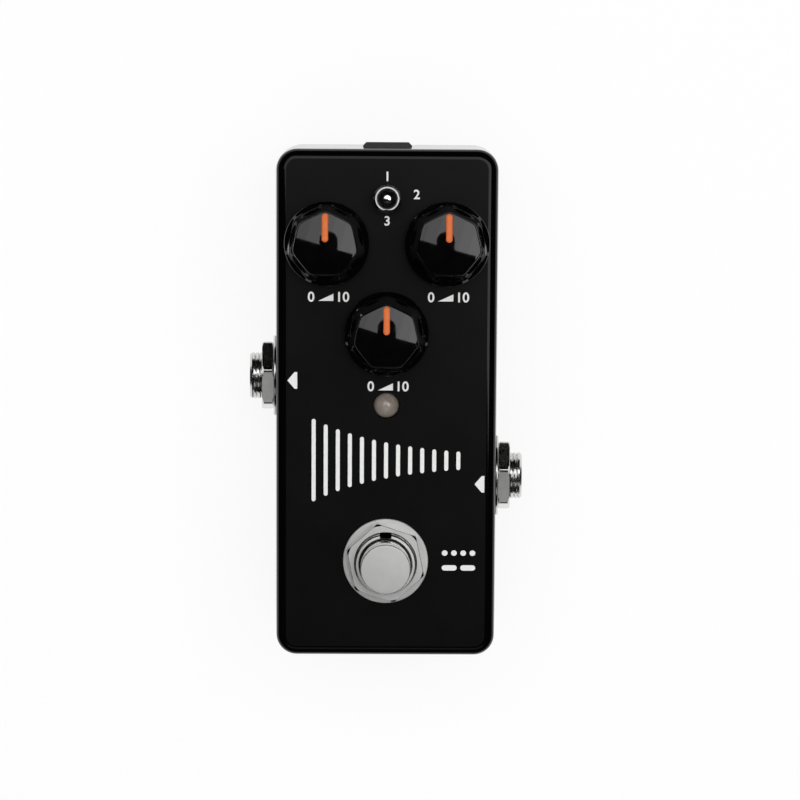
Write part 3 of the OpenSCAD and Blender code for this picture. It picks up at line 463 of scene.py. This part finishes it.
KNOB_SIDES = 7
KNOB_LOW_R = 7.7 * MM
KNOB_HIGH_R = 6.4 * MM
KNOB_FLAT = 0.5 * MM
KNOB_SKIRT_H = 2.7 * MM
KNOB_SLOPE = 0.85 * MM
KNOB_CROWN = 0.9 * MM
KNOB_EDGE = 0.32 * MM
KNOB_EASE = 0.3 * MM
KNOB_STEP = 0.15 * MM
KNOB_FLARE = 0.35 * MM
KNOB_FLARE_FALL = 9
KNOB_SHARPNESS = 34
KNOB_RECESS_R = 6.17 * MM
KNOB_RECESS_H = 2.1 * MM
KNOB_BORE_R = 3.06 * MM
KNOB_ROOF = 3.0 * MM
CROWN_R = (KNOB_HIGH_R ** 2 + KNOB_CROWN ** 2) / (2 * KNOB_CROWN)


def knob_shape(skirt_r, low, high):
    """A hollow knob: a round skirt, a seven-sided body that narrows upward, and a domed crown."""
    points_per_side = 24
    angles = turn_angles(KNOB_SIDES * points_per_side)
    first_flat = -math.pi / 2
    shoulder = low + KNOB_SKIRT_H

    def outline(ridge_r):
        return polygon_radius(angles, KNOB_SIDES, ridge_r, ridge_r - KNOB_FLAT, first_flat, KNOB_SHARPNESS)

    def crown_z(radius):
        return high - radius ** 2 / (2 * CROWN_R)

    inner = [
        (KNOB_BORE_R, high - KNOB_ROOF, 0),
        (KNOB_BORE_R, low + KNOB_RECESS_H, 0),
        (KNOB_RECESS_R, low + KNOB_RECESS_H, 0),
        (KNOB_RECESS_R, low, KNOB_EASE),
        (skirt_r, low, KNOB_EASE),
        (skirt_r, shoulder - KNOB_SLOPE - KNOB_STEP, 0),
    ]
    rings = [ring(r, z, angles) for r, z in rounded(inner)]
    body_low = outline(KNOB_LOW_R)
    edge = outline(KNOB_HIGH_R)
    edge_z = crown_z(edge - KNOB_EDGE) - KNOB_EDGE
    for s in (0.06, 0.15, 0.4, 0.7, 1):
        rings.append(ring(skirt_r + (body_low - skirt_r) * s, shoulder - KNOB_SLOPE * (1 - s), angles))
    for s in np.linspace(0.04, 1, 16):
        flare = KNOB_FLARE * (math.exp(-s * KNOB_FLARE_FALL) - math.exp(-KNOB_FLARE_FALL))
        r = body_low + (edge - body_low) * s + flare
        rings.append(ring(r, shoulder + (edge_z - shoulder) * s, angles))
    for s in np.linspace(0, 1, 9)[1:]:
        turn = s * math.pi / 2
        r = edge - KNOB_EDGE + KNOB_EDGE * math.cos(turn)
        rings.append(ring(r, edge_z + KNOB_EDGE * math.sin(turn), angles))
    for s in (0.95, 0.85, 0.7, 0.5, 0.3, 0.1, 0.01):
        r = (edge - KNOB_EDGE) * s
        rings.append(ring(r, crown_z(r), angles))
    return loft(rings)


def stadium(width, length, steps=10):
    """The outline of a bar with round ends, along Y, about the origin."""
    r = width / 2
    half = length / 2 - r
    rear = [(r * math.cos(a), half + r * math.sin(a)) for a in np.linspace(0, math.pi, steps)]
    return np.array(rear + [(-x, -y) for x, y in rear])


def pointer_shape(width, length, middle, crown_top, foot_z):
    """A bar with round ends that stands a little out of the crown and follows its dome."""
    proud = 0.26 * MM
    ease = 0.34 * MM
    crest = -0.04 * MM
    rings = []
    for inset, drop in ((0, None), (0, ease), (0.3 * ease, 0.3 * ease), (ease, 0), (0.45 * width, crest)):
        outline = stadium(width - 2 * inset, length - 2 * inset) + (0, middle)
        radius = np.hypot(outline[:, 0], outline[:, 1])
        if drop is None:
            z = np.full(len(outline), foot_z)
        else:
            z = crown_top - radius ** 2 / (2 * CROWN_R) + proud - drop
        rings.append(np.column_stack([outline, z]))
    return loft(rings)


def add_dials():
    for dial in DIALS:
        knob = dial + "_knob"
        mark = dial + "_pointer"
        low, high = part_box(knob)
        place = centre_of(knob)
        axis = Matrix.Translation((place.x, place.y, 0))
        shape = moved(knob_shape(size_of(knob).x / 2, low.z, high.z), axis)
        add_slot_piece("knob_" + dial, shape, dial + "_dial", "knob_plastic", [knob], sharp_deg=50)
        mark_size = size_of(mark)
        middle = centre_of(mark).y - place.y
        bar = pointer_shape(mark_size.x, mark_size.y, middle, high.z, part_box(mark)[0].z)
        bar = moved(bar, axis)
        add_slot_piece("pointer_" + dial, bar, dial + "_dial", "pointer_orange", [mark], sharp_deg=60)


# Mode switch

def mode_bushing_shape(radius, height, below):
    """A threaded bushing with a flat on its front side and a flared mouth; z = 0 is the panel."""
    thread_depth = 0.13 * MM
    pitch = 0.45 * MM
    crest = 0.3
    chamfer = 0.25 * MM
    edge = 0.1 * MM
    lip = 0.12 * MM
    flat_y = radius - 0.55 * MM
    mouth_r = 1.94 * MM
    throat_r = 1.0 * MM
    tail_r = 1.7 * MM
    pivot = 1.2 * MM
    angles = turn_angles(144)
    facing_front = np.maximum(-np.sin(angles), 1e-6)
    rings = thread_rings(angles, radius, thread_depth, pitch, -below, height - 2 * chamfer, crest)
    rings.append(ring(radius - chamfer, height - chamfer, angles))
    rings.append(ring(radius - chamfer, height - edge, angles))
    rings.append(ring(radius - chamfer - edge, height, angles))
    for row in rings:
        reach = np.hypot(row[:, 0], row[:, 1])
        cut = np.minimum(1, flat_y / (facing_front * reach))
        row[:, :2] *= cut[:, None]
    rings += [
        ring(mouth_r + lip, height, angles),
        ring(mouth_r, height - lip, angles),
        ring(throat_r, pivot, angles),
        ring(tail_r, -below, angles),
    ]
    return loft(rings, looped=True)


def lever_shape(tail, reach, tip, tip_r):
    """A bat-shaped lever along Z, with its pivot at z = 0."""
    rod_r = 0.55 * MM
    end = 0.2 * MM
    neck = 0.8 * MM
    cap = 0.12 * MM
    return lathe([
        (end, -tail, 0),
        (rod_r, -tail, end),
        (rod_r, reach, 1 * MM),
        (tip_r, tip - neck, 0.4 * MM),
        (tip_r * 0.95, tip - cap, 0.1 * MM),
        (AXIS_R, tip, 0),
    ], segments=64)


def add_mode_switch():
    lever_reach = 3.8 * MM
    lever_tip_r = 0.75 * MM
    size = size_of("mode_switch_bushing")
    low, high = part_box("mode_switch_bushing")
    at_panel = Matrix.Translation((SWITCH.x, SWITCH.y, TOP_Z))
    shape = mode_bushing_shape(size.x / 2, high.z - TOP_Z, TOP_Z - low.z)
    shape = moved(shape, at_panel)
    sleeve = add_slot_piece("mode_bushing", shape, "case", "nickel", ["mode_switch_bushing"])
    polish_sides(sleeve, BRIGHT_NICKEL)
    pivot = next(j for j in frame["joints"] if j["name"] == "mode_tilt")["pos_m"]
    low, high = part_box("mode_switch_lever")
    lever = lever_shape(pivot[2] - low.z, lever_reach, high.z - pivot[2], lever_tip_r)
    placed = moved(lever, Matrix.Translation(pivot))
    add_slot_piece("mode_lever_bat", placed, "mode_lever", "chrome", ["mode_switch_lever"], sharp_deg=50)


# Footswitch

FOOT_THREAD_R = 6 * MM
FOOT_BUTTON_R = 4.9 * MM
FOOT_FLANGE_T = 1.5 * MM
FOOT_NUT_AF = 14 * MM
FOOT_NUT_FACE_R = 7.55 * MM
FOOT_NUT_TURN = math.radians(42)
SPRING_WIRE_R = 0.35 * MM
SPRING_TURNS = 4


def foot_bushing_shape(height, flange_z, flange_half):
    """A threaded bushing with a keyway along its rear side and a flared mouth; z = 0 is the panel."""
    pitch = 1.0 * MM
    thread_depth = 0.32 * MM
    crest = 0.12
    chamfer = 0.2 * MM
    edge = 0.06 * MM
    run_gap = 0.06 * MM
    bore_r = FOOT_BUTTON_R + run_gap
    mouth = 0.34 * MM
    key_wall = 0.08 * MM
    key_edge = math.asin(KEY_W / 2 / FOOT_THREAD_R)
    rear = math.pi / 2
    near = 0.002
    extra = [rear + side * (key_edge + step) for side in (-1, 1) for step in (-near, near)]
    angles = np.sort(np.concatenate([turn_angles(128), extra]))
    in_key = abs(angles - rear) < key_edge
    rings = thread_rings(angles, FOOT_THREAD_R, thread_depth, pitch, flange_z, height - chamfer, crest)
    rings.append(ring(FOOT_THREAD_R - chamfer, height, angles))
    for row in rings:
        reach = np.hypot(row[:, 0], row[:, 1])
        deep = np.minimum(reach, KEY_FLOOR / np.sin(np.where(in_key, angles, rear)))
        row[:, :2] *= np.where(in_key, deep / reach, 1)[:, None]
    rim = np.where(in_key, min(bore_r + mouth, KEY_FLOOR - key_wall), bore_r + mouth)
    rings += [
        ring(rim + edge, height, angles),
        ring(rim, height - edge, angles),
        ring(bore_r, height - 2 * mouth, angles),
        ring(bore_r, flange_z, angles),
    ]
    tube_part = loft(rings, looped=True)
    flange_low = flange_z - FOOT_FLANGE_T
    flange = lathe([
        (bore_r, flange_low, 0), (flange_half, flange_low, 0.2 * MM),
        (flange_half, flange_z, 0.2 * MM), (bore_r, flange_z, 0),
    ], closed=True)
    return joined(tube_part, flange)


def spring_shape():
    """The return spring as a smooth round coil with its ends wound flat."""
    low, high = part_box("foot_spring")
    middle = centre_of("foot_spring")
    coil_r = size_of("foot_spring").x / 2 - SPRING_WIRE_R
    rise = high.z - low.z - 2 * SPRING_WIRE_R
    steps = 36
    flat_turns = 0.75
    count = int((SPRING_TURNS + 2 * flat_turns) * steps)
    route = []
    for i in range(count + 1):
        angle = TURN * i / steps
        share = np.clip((i / steps - flat_turns) / SPRING_TURNS, 0, 1)
        z = low.z + SPRING_WIRE_R + rise * share
        route.append((middle.x + coil_r * math.cos(angle), middle.y + coil_r * math.sin(angle), z))
    return tube(route, SPRING_WIRE_R, 10)


def button_shape():
    """The push button on its collar and stem, with a crisp top edge."""
    low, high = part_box("foot_button")
    collar_t = 1.5 * MM
    collar_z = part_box("foot_spring")[1].z
    collar_top = collar_z + collar_t
    collar_r = size_of("foot_button").x / 2
    stem_r = 2 * MM
    ease = 0.2 * MM
    top_edge = 0.26 * MM
    return lathe([
        (AXIS_R, low.z, 0),
        (stem_r, low.z, 0),
        (stem_r, collar_z, 0),
        (collar_r, collar_z, ease),
        (collar_r, collar_top, ease),
        (FOOT_BUTTON_R, collar_top, 0),
        (FOOT_BUTTON_R, high.z, top_edge),
        (AXIS_R, high.z, 0),
    ], segments=128)


# Wires from the terminals to the board. The shares place points between a wire's loop and its landing
WIRE_R = 0.6 * MM
WIRE_START = 1.6 * MM
WIRE_END = 0.2 * MM
WIRE_DROP = 2.4 * MM
LOOP_Y = 2.2 * MM
LAND_Y = 11.4 * MM
LAND_DROP = 3 * MM
TERMINAL_X = 3.2 * MM
WIRE_LAND_X = {-1: -12.4 * MM, 1: -15.6 * MM}
WIRE_SHARES = {
    -1: ((0.26, 0.37, 0.05), (0.7, 0.7, 0.21), (0.96, 0.91, 0.56)),
    1: ((0.17, 0.35, -0.14), (0.49, 0.46, -0.16), (0.81, 0.52, -0.02), (0.98, 0.76, 0.4)),
}


def smooth_route(points, steps=8):
    """A curve through points, which it passes smoothly."""
    points = np.array(points)
    padded = np.concatenate([points[:1], points, points[-1:]])
    route = []
    for i in range(1, len(padded) - 2):
        a, b, c, d = padded[i - 1:i + 3]
        for s in np.arange(steps) / steps:
            route.append(b + (c - a) * s / 2 + (2 * a - 5 * b + 4 * c - d) * s ** 2 / 2
                         + (3 * b - a - 3 * c + d) * s ** 3 / 2)
    return route + [points[-1]]


def wire_shape(side):
    """A wire from one terminal of the footswitch, in a loop under the board, up to the board."""
    low_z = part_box("foot_terminals")[1].z - WIRE_DROP
    board_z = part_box("main_board")[0].z
    loop = np.array((side * TERMINAL_X, FOOT.y + LOOP_Y, low_z))
    land = np.array((WIRE_LAND_X[side], FOOT.y + LAND_Y, board_z - LAND_DROP))
    points = [loop - (0, WIRE_START, 0), loop]
    points += [loop + (land - loop) * share for share in WIRE_SHARES[side]]
    points += [land, (land[0], land[1], board_z - WIRE_END)]
    return tube(smooth_route(points), WIRE_R, 16)


def add_foot_wires():
    shape = joined(wire_shape(-1), wire_shape(1))
    add_slot_piece("foot_wires_round", shape, "case", "wire_insulation", ["foot_wires"])


def add_footswitch():
    bush_low, bush_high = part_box("foot_bushing")
    at_panel = Matrix.Translation((FOOT.x, FOOT.y, TOP_Z))
    flange_z = bush_low.z + FOOT_FLANGE_T - TOP_Z
    bushing = foot_bushing_shape(bush_high.z - TOP_Z, flange_z, size_of("foot_bushing").y / 2)
    placed = moved(bushing, at_panel)
    # The bushing's finishes have painted shade in its keyway
    sleeve = add_piece("foot_bushing_threaded", placed, "case", SATIN_NICKEL_WITH_PAINTED_KEYWAY_SHADE, ["foot_bushing"])
    polish_sides(sleeve, BRIGHT_NICKEL_WITH_PAINTED_KEYWAY_SHADE)
    button = moved(button_shape(), Matrix.Translation((FOOT.x, FOOT.y, 0)))
    satin = FINISHES["nickel"]
    cap = add_piece("foot_button_cap", button, "foot_plunger", satin, ["foot_button"])
    polish_sides(cap, FINISHES["chrome"])
    washer_size = size_of("foot_washer")
    flat = washer(washer_size.x / 2, FOOT_THREAD_R + WASHER_PLAY, washer_size.z)
    add_slot_piece("foot_washer_flat", moved(flat, at_panel), "case", "nickel", ["foot_washer"])
    nut_h = size_of("foot_nut").z
    nut = hex_nut(FOOT_NUT_AF, nut_h, FOOT_THREAD_R + NUT_PLAY, FOOT_NUT_FACE_R, FOOT_NUT_TURN)
    nut = moved(nut, Matrix.Translation((FOOT.x, FOOT.y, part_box("foot_nut")[0].z)))
    hexagon = add_slot_piece("foot_nut_hex", nut, "case", "nickel", ["foot_nut"], sharp_deg=20)
    polish_sides(hexagon, BRIGHT_NICKEL)
    coil = add_slot_piece("foot_spring_coil", spring_shape(), "case", "screw_steel", ["foot_spring"])
    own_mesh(coil)


# Jacks

JACK_THREAD_R = 4.75 * MM
JACK_THREAD_L = 5.35 * MM
JACK_HOLE_R = 3.25 * MM
JACK_WASHER_R = 8.25 * MM
JACK_WASHER_T = 0.5 * MM
JACK_NUT_AF = 13 * MM
JACK_NUT_T = 2.4 * MM
JACK_NUT_FACE_R = 6.85 * MM
JACK_FLANGE_R = 6.2 * MM
JACK_SHOULDER = -2.05 * MM
JACK_BACK = -3.25 * MM
JACK_NUT_TURN = {"output_jack": math.radians(13), "input_jack": math.radians(44)}


def jack_bushing_shape():
    """A flanged bushing with a thread that stands out of the wall; z = 0 is the wall."""
    pitch = 0.8 * MM
    depth = 0.2 * MM
    crest = 0.5
    chamfer = 0.4 * MM
    edge = 0.1 * MM
    lip = 0.3 * MM
    thread_end = JACK_THREAD_L - chamfer
    angles = turn_angles(112)
    rings = [
        ring(JACK_HOLE_R, JACK_BACK, angles),
        ring(JACK_FLANGE_R, JACK_BACK, angles),
        ring(JACK_FLANGE_R, JACK_SHOULDER, angles),
    ]
    rings += thread_rings(angles, JACK_THREAD_R, depth, pitch, JACK_SHOULDER, thread_end, crest)
    rings += [
        ring(JACK_THREAD_R - chamfer, JACK_THREAD_L, angles),
        ring(JACK_HOLE_R + lip, JACK_THREAD_L, angles),
        ring(JACK_HOLE_R + edge, JACK_THREAD_L - edge, angles),
        ring(JACK_HOLE_R, JACK_THREAD_L - lip, angles),
    ]
    return loft(rings, looped=True)


def add_jacks():
    washers, nuts = [], []
    for jack in JACKS:
        at_wall = mount_matrix(jack)
        node = jack + "_bushing"
        bushing = moved(jack_bushing_shape(), at_wall)
        add_piece(node + "_threaded", bushing, "case", JACK_NICKEL, [node])
        washers.append(moved(washer(JACK_WASHER_R, JACK_THREAD_R + WASHER_PLAY, JACK_WASHER_T), at_wall))
        bore_r = JACK_THREAD_R + NUT_PLAY
        nut = hex_nut(JACK_NUT_AF, JACK_NUT_T, bore_r, JACK_NUT_FACE_R, JACK_NUT_TURN[jack])
        nuts.append(moved(nut, at_wall @ Matrix.Translation((0, 0, JACK_WASHER_T))))
    add_piece("jack_washers_flat", joined(*washers), "case", JACK_NICKEL, ["jack_washers"])
    add_piece("jack_nuts_hex", joined(*nuts), "case", JACK_NICKEL, ["jack_nuts"])


# Print on the panel: bars, numbers, ramps and arrows

INK_LOW = TOP_Z - 0.01 * MM
INK_HIGH = TOP_Z + 0.02 * MM
INK_SPREAD = 0.05 * MM
DIGIT_SHARE = 0.7

# Numbers at the switch, as text, x from the switch, and y
SWITCH_NUMBERS = (("1", 0, 45.1 * MM), ("3", 0, 36.4 * MM), ("2", 5.8 * MM, 41.6 * MM))
SWITCH_NUMBER_H = 1.8 * MM

# Numbers and ramps under the knobs
DIAL_NUMBERS = (("0", -3.1 * MM), ("10", 3.1 * MM))
DIAL_NUMBER_H = 1.9 * MM
DIAL_PRINT_Y = -10.6 * MM
RAMP = ((-1.7 * MM, -0.7 * MM), (1.3 * MM, -0.7 * MM), (1.3 * MM, 0.7 * MM))

# Arrowheads beside the jacks
ARROW_X = {"output_jack": -18.65 * MM, "input_jack": 18.65 * MM}
ARROW_UP = 0.5 * MM
ARROW_L = 1.95 * MM
ARROW_HALF_W = 1.65 * MM
ARROW_BACK = 0.55 * MM

# A row of bars that shrink to the right
BAR_COUNT = 13
BAR_PITCH = 2.4 * MM
BAR_W = 0.8 * MM
BAR_DROP = 15 * MM
BAR_FALL = 0.16
BAR_LEAST = 1.5 * MM
BAR_Y = -11 * MM

# Two rows of dashes beside the footswitch
DASH_COUNTS = (4, 2)
DASH_SPAN = 7.4 * MM
DASH_W = 1.1 * MM
DASH_GAP = 0.7 * MM
DASH_X = 10.9 * MM
DASH_Y = (1.6 * MM, -1.4 * MM)


def ink(outline, x, y):
    return plate(np.array(outline) + (x, y), INK_LOW, INK_HIGH)


def number_shape(text, height, x, y):
    """A number in the plain built-in typeface, as a thin plate centred on a place on the panel."""
    curve = bpy.data.curves.new("number", "FONT")
    curve.body = text
    curve.size = height / DIGIT_SHARE
    curve.align_x = "CENTER"
    curve.align_y = "CENTER"
    curve.offset = INK_SPREAD
    curve.extrude = (INK_HIGH - INK_LOW) / 2
    holder = bpy.data.objects.new("number", curve)
    bpy.context.scene.collection.objects.link(holder)
    graph = bpy.context.evaluated_depsgraph_get()
    made = holder.evaluated_get(graph).to_mesh()
    points = np.array([v.co for v in made.vertices]) + (x, y, (INK_LOW + INK_HIGH) / 2)
    faces = [tuple(p.vertices) for p in made.polygons]
    bpy.data.objects.remove(holder)
    bpy.data.curves.remove(curve)
    return points, faces


def arrow_outline():
    """An arrowhead that points left, with a straight back."""
    right = ARROW_L / 2
    shoulder = right - ARROW_BACK
    upper = [(right, ARROW_HALF_W), (shoulder, ARROW_HALF_W)]
    return [(-right, 0)] + [(x, -y) for x, y in upper[::-1]] + upper


def add_print():
    shapes = []
    for number, x, y in SWITCH_NUMBERS:
        shapes.append(number_shape(number, SWITCH_NUMBER_H, SWITCH.x + x, y))
    for dial in DIALS:
        place = centre_of(dial + "_knob")
        y = place.y + DIAL_PRINT_Y
        for number, x in DIAL_NUMBERS:
            shapes.append(number_shape(number, DIAL_NUMBER_H, place.x + x, y))
        shapes.append(ink(RAMP, place.x, y))
    for jack in JACKS:
        shapes.append(ink(arrow_outline(), ARROW_X[jack], mount_matrix(jack).translation.y + ARROW_UP))
    for i in range(BAR_COUNT):
        x = (i - (BAR_COUNT - 1) / 2) * BAR_PITCH
        length = BAR_DROP * math.exp(-BAR_FALL * i) + BAR_LEAST
        shapes.append(ink(stadium(BAR_W, length), x, BAR_Y))
    for count, y in zip(DASH_COUNTS, DASH_Y):
        pitch = DASH_SPAN / count
        dash = stadium(DASH_W, pitch - DASH_GAP)[:, ::-1] * (1, -1)
        for i in range(count):
            shapes.append(ink(dash, FOOT.x + DASH_X + (i + 0.5) * pitch, FOOT.y + y))
    add_piece("panel_print", joined(*shapes), "case", WHITE_INK)


# Camera, floor, world, cards and lamps

CAMERA_PLACE = Vector((0, 39.5 * MM, TOP_Z + 400 * MM))
CAMERA_TARGET = Vector((2.72 * MM, 1.1 * MM, TOP_Z))
CAMERA_ROLL = math.radians(0.32)
CAMERA_LENS = 91.1
CAMERA_SENSOR = 36
CAMERA_NEAR = 0.01

FLOOR_HALF = 3.0
FLOOR_SHADE = 0.88
WHITE_NEAR = 0.88
FADE_START = 0.2
FADE_END = 0.9
AMBIENT = 0.06

# Black cards: round the set, over the lamps, and round the lens
CARD_X = 0.21
CARD_Y = 0.23
CARD_H = 0.2
CEILING_Z = 0.65
CEILING_HALF = 1.2
LENS_W = 0.13
LENS_L = 0.2
LENS_SHIFT = Vector((0, -0.02, 0.012))

# Lamps: a rear box made of strips, a front fill and an even fill
BOX_TURN = math.radians(-16)
BOX_Z = 0.6
BOX_W = 0.68
BOX_L = 0.36
BOX_STRIPS = 6
BOX_LEFT = 1.5
BOX_RIGHT = 3.0
FRONT_PLACE = (0, -0.45, 0.45)
FRONT_LEAN = math.radians(45)
FRONT_W = 0.5
FRONT_L = 0.3
FRONT_RADIANCE = 0.42
EVEN_PLACE = (0, 0, 0.9)
EVEN_SIDE = 1.6
EVEN_RADIANCE = 1.3


def add_camera():
    data = bpy.data.cameras.new("camera")
    data.lens = CAMERA_LENS
    data.sensor_width = CAMERA_SENSOR
    data.clip_start = CAMERA_NEAR
    camera = bpy.data.objects.new("camera", data)
    bpy.context.scene.collection.objects.link(camera)
    back = (CAMERA_PLACE - CAMERA_TARGET).normalized()
    right = Vector((0, 1, 0)).cross(back).normalized()
    up = back.cross(right)
    turn = Matrix((right, up, back)).transposed().to_4x4()
    camera.matrix_world = Matrix.Translation(CAMERA_PLACE) @ turn @ Matrix.Rotation(CAMERA_ROLL, 4, "Z")
    bpy.context.scene.camera = camera


def seen_rays(tree):
    """One for rays from the camera, from gloss and through glass, and otherwise nought."""
    path = add_node(tree, "LightPath")
    inputs = {0: path.outputs["Is Camera Ray"], 1: path.outputs["Is Glossy Ray"]}
    seen = add_node(tree, "Math", inputs, operation="MAXIMUM")
    inputs = {0: seen.outputs[0], 1: path.outputs["Is Transmission Ray"]}
    return add_node(tree, "Math", inputs, operation="MAXIMUM").outputs[0]


def rectangle(half_x, half_y):
    """Its corners about the origin, anticlockwise from the front left."""
    return [(-half_x, -half_y), (half_x, -half_y), (half_x, half_y), (-half_x, half_y)]


def add_floor():
    """A pale floor that shows white and keeps the object's shadow. Far off it is all white."""
    data = bpy.data.meshes.new("floor")
    data.from_pydata([(x, y, 0) for x, y in rectangle(FLOOR_HALF, FLOOR_HALF)], [], [(0, 1, 2, 3)])
    made = bpy.data.materials.new("floor")
    made.use_nodes = True
    tree = made.node_tree
    tree.nodes.clear()
    place = add_node(tree, "TexCoord")
    away = add_node(tree, "VectorMath", {0: place.outputs["Object"]}, operation="LENGTH")
    inputs = {"Value": away.outputs["Value"], "From Min": FADE_START, "From Max": FADE_END}
    inputs.update({"To Min": WHITE_NEAR, "To Max": 1.0})
    most = add_node(tree, "MapRange", inputs, interpolation_type="SMOOTHSTEP")
    inputs = {0: seen_rays(tree), 1: most.outputs["Result"]}
    share = add_node(tree, "Math", inputs, operation="MULTIPLY")
    pale = add_node(tree, "BsdfDiffuse", {"Color": (*grey(FLOOR_SHADE), 1)})
    white = add_node(tree, "Emission", {"Strength": 1.0})
    mix = add_node(tree, "MixShader", {0: share.outputs[0], 1: pale.outputs[0], 2: white.outputs[0]})
    add_node(tree, "OutputMaterial", {"Surface": mix.outputs[0]})
    data.materials.append(made)
    floor = bpy.data.objects.new("floor", data)
    bpy.context.scene.collection.objects.link(floor)


def add_softbox(name, place, turn, width, length, radiance, in_gloss=True):
    """A flat lamp that faces down before it is turned."""
    light = bpy.data.lights.new(name, "AREA")
    light.shape = "RECTANGLE"
    light.size = width
    light.size_y = length
    light.energy = radiance * math.pi * width * length
    holder = bpy.data.objects.new(name, light)
    bpy.context.scene.collection.objects.link(holder)
    holder.location = place
    holder.rotation_mode = "QUATERNION"
    holder.rotation_quaternion = turn.to_quaternion()
    holder.visible_glossy = in_gloss


CARD_BLACK, _, _ = new_material(
    "card_black", base_color=(0, 0, 0, 1), roughness=1.0, specular_ior_level=0.0
)


def add_card(name, corners):
    """A black card of the studio, which only gloss shows."""
    data = bpy.data.meshes.new(name)
    data.from_pydata([tuple(corner) for corner in corners], [], [tuple(range(len(corners)))])
    data.materials.append(CARD_BLACK)
    card = bpy.data.objects.new(name, data)
    bpy.context.scene.collection.objects.link(card)
    card.visible_camera = False
    card.visible_diffuse = False
    card.visible_transmission = False
    card.visible_shadow = False


def add_cards():
    """Cards on four sides outside the photograph's frame, over the lamps, and round the lens."""
    corners = rectangle(CARD_X, CARD_Y)
    for i, side in enumerate(("front", "right", "rear", "left")):
        (x1, y1), (x2, y2) = corners[i], corners[(i + 1) % 4]
        add_card(side + "_card", [(x1, y1, 0), (x2, y2, 0), (x2, y2, CARD_H), (x1, y1, CARD_H)])
    add_card("ceiling_card", [(x, y, CEILING_Z) for x, y in rectangle(CEILING_HALF, CEILING_HALF)])
    lens = CAMERA_PLACE + LENS_SHIFT
    add_card("lens_card", [(lens.x + x, lens.y + y, lens.z) for x, y in stadium(LENS_W, LENS_L)])


def add_world():
    """White for the camera, gloss and glass, and a faint even light on the object."""
    world = bpy.data.worlds.new("studio")
    world.use_nodes = True
    tree = world.node_tree
    strength = add_node(tree, "Math", {0: seen_rays(tree), 1: AMBIENT}, operation="MAXIMUM")
    sky = tree.nodes["Background"]
    sky.inputs["Color"].default_value = (1, 1, 1, 1)
    tree.links.new(strength.outputs[0], sky.inputs["Strength"])
    bpy.context.scene.world = world


def add_light():
    """A large box over the rear that grows brighter to the right, a front fill, and an even fill."""
    along = Vector((math.cos(BOX_TURN), math.sin(BOX_TURN), 0))
    rearward = Vector((-along.y, along.x, 0))
    turn = Matrix.Rotation(BOX_TURN, 3, "Z")
    width = BOX_W / BOX_STRIPS
    for i in range(BOX_STRIPS):
        share = (i + 0.5) / BOX_STRIPS
        place = Vector((0, 0, BOX_Z)) + along * BOX_W * (share - 0.5) + rearward * BOX_L / 2
        radiance = BOX_LEFT + (BOX_RIGHT - BOX_LEFT) * share
        add_softbox(f"rear_box_{i + 1}", place, turn, width, BOX_L, radiance)
    lean = Matrix.Rotation(FRONT_LEAN, 3, "X")
    add_softbox("front_fill", FRONT_PLACE, lean, FRONT_W, FRONT_L, FRONT_RADIANCE)
    level = Matrix.Identity(3)
    add_softbox("even_fill", EVEN_PLACE, level, EVEN_SIDE, EVEN_SIDE, EVEN_RADIANCE, in_gloss=False)


add_camera()
paint_model()
add_dials()
add_mode_switch()
add_footswitch()
add_foot_wires()
add_jacks()
add_print()
add_floor()
add_cards()
add_world()
add_light()
bpy.context.scene.view_settings.view_transform = "Standard"
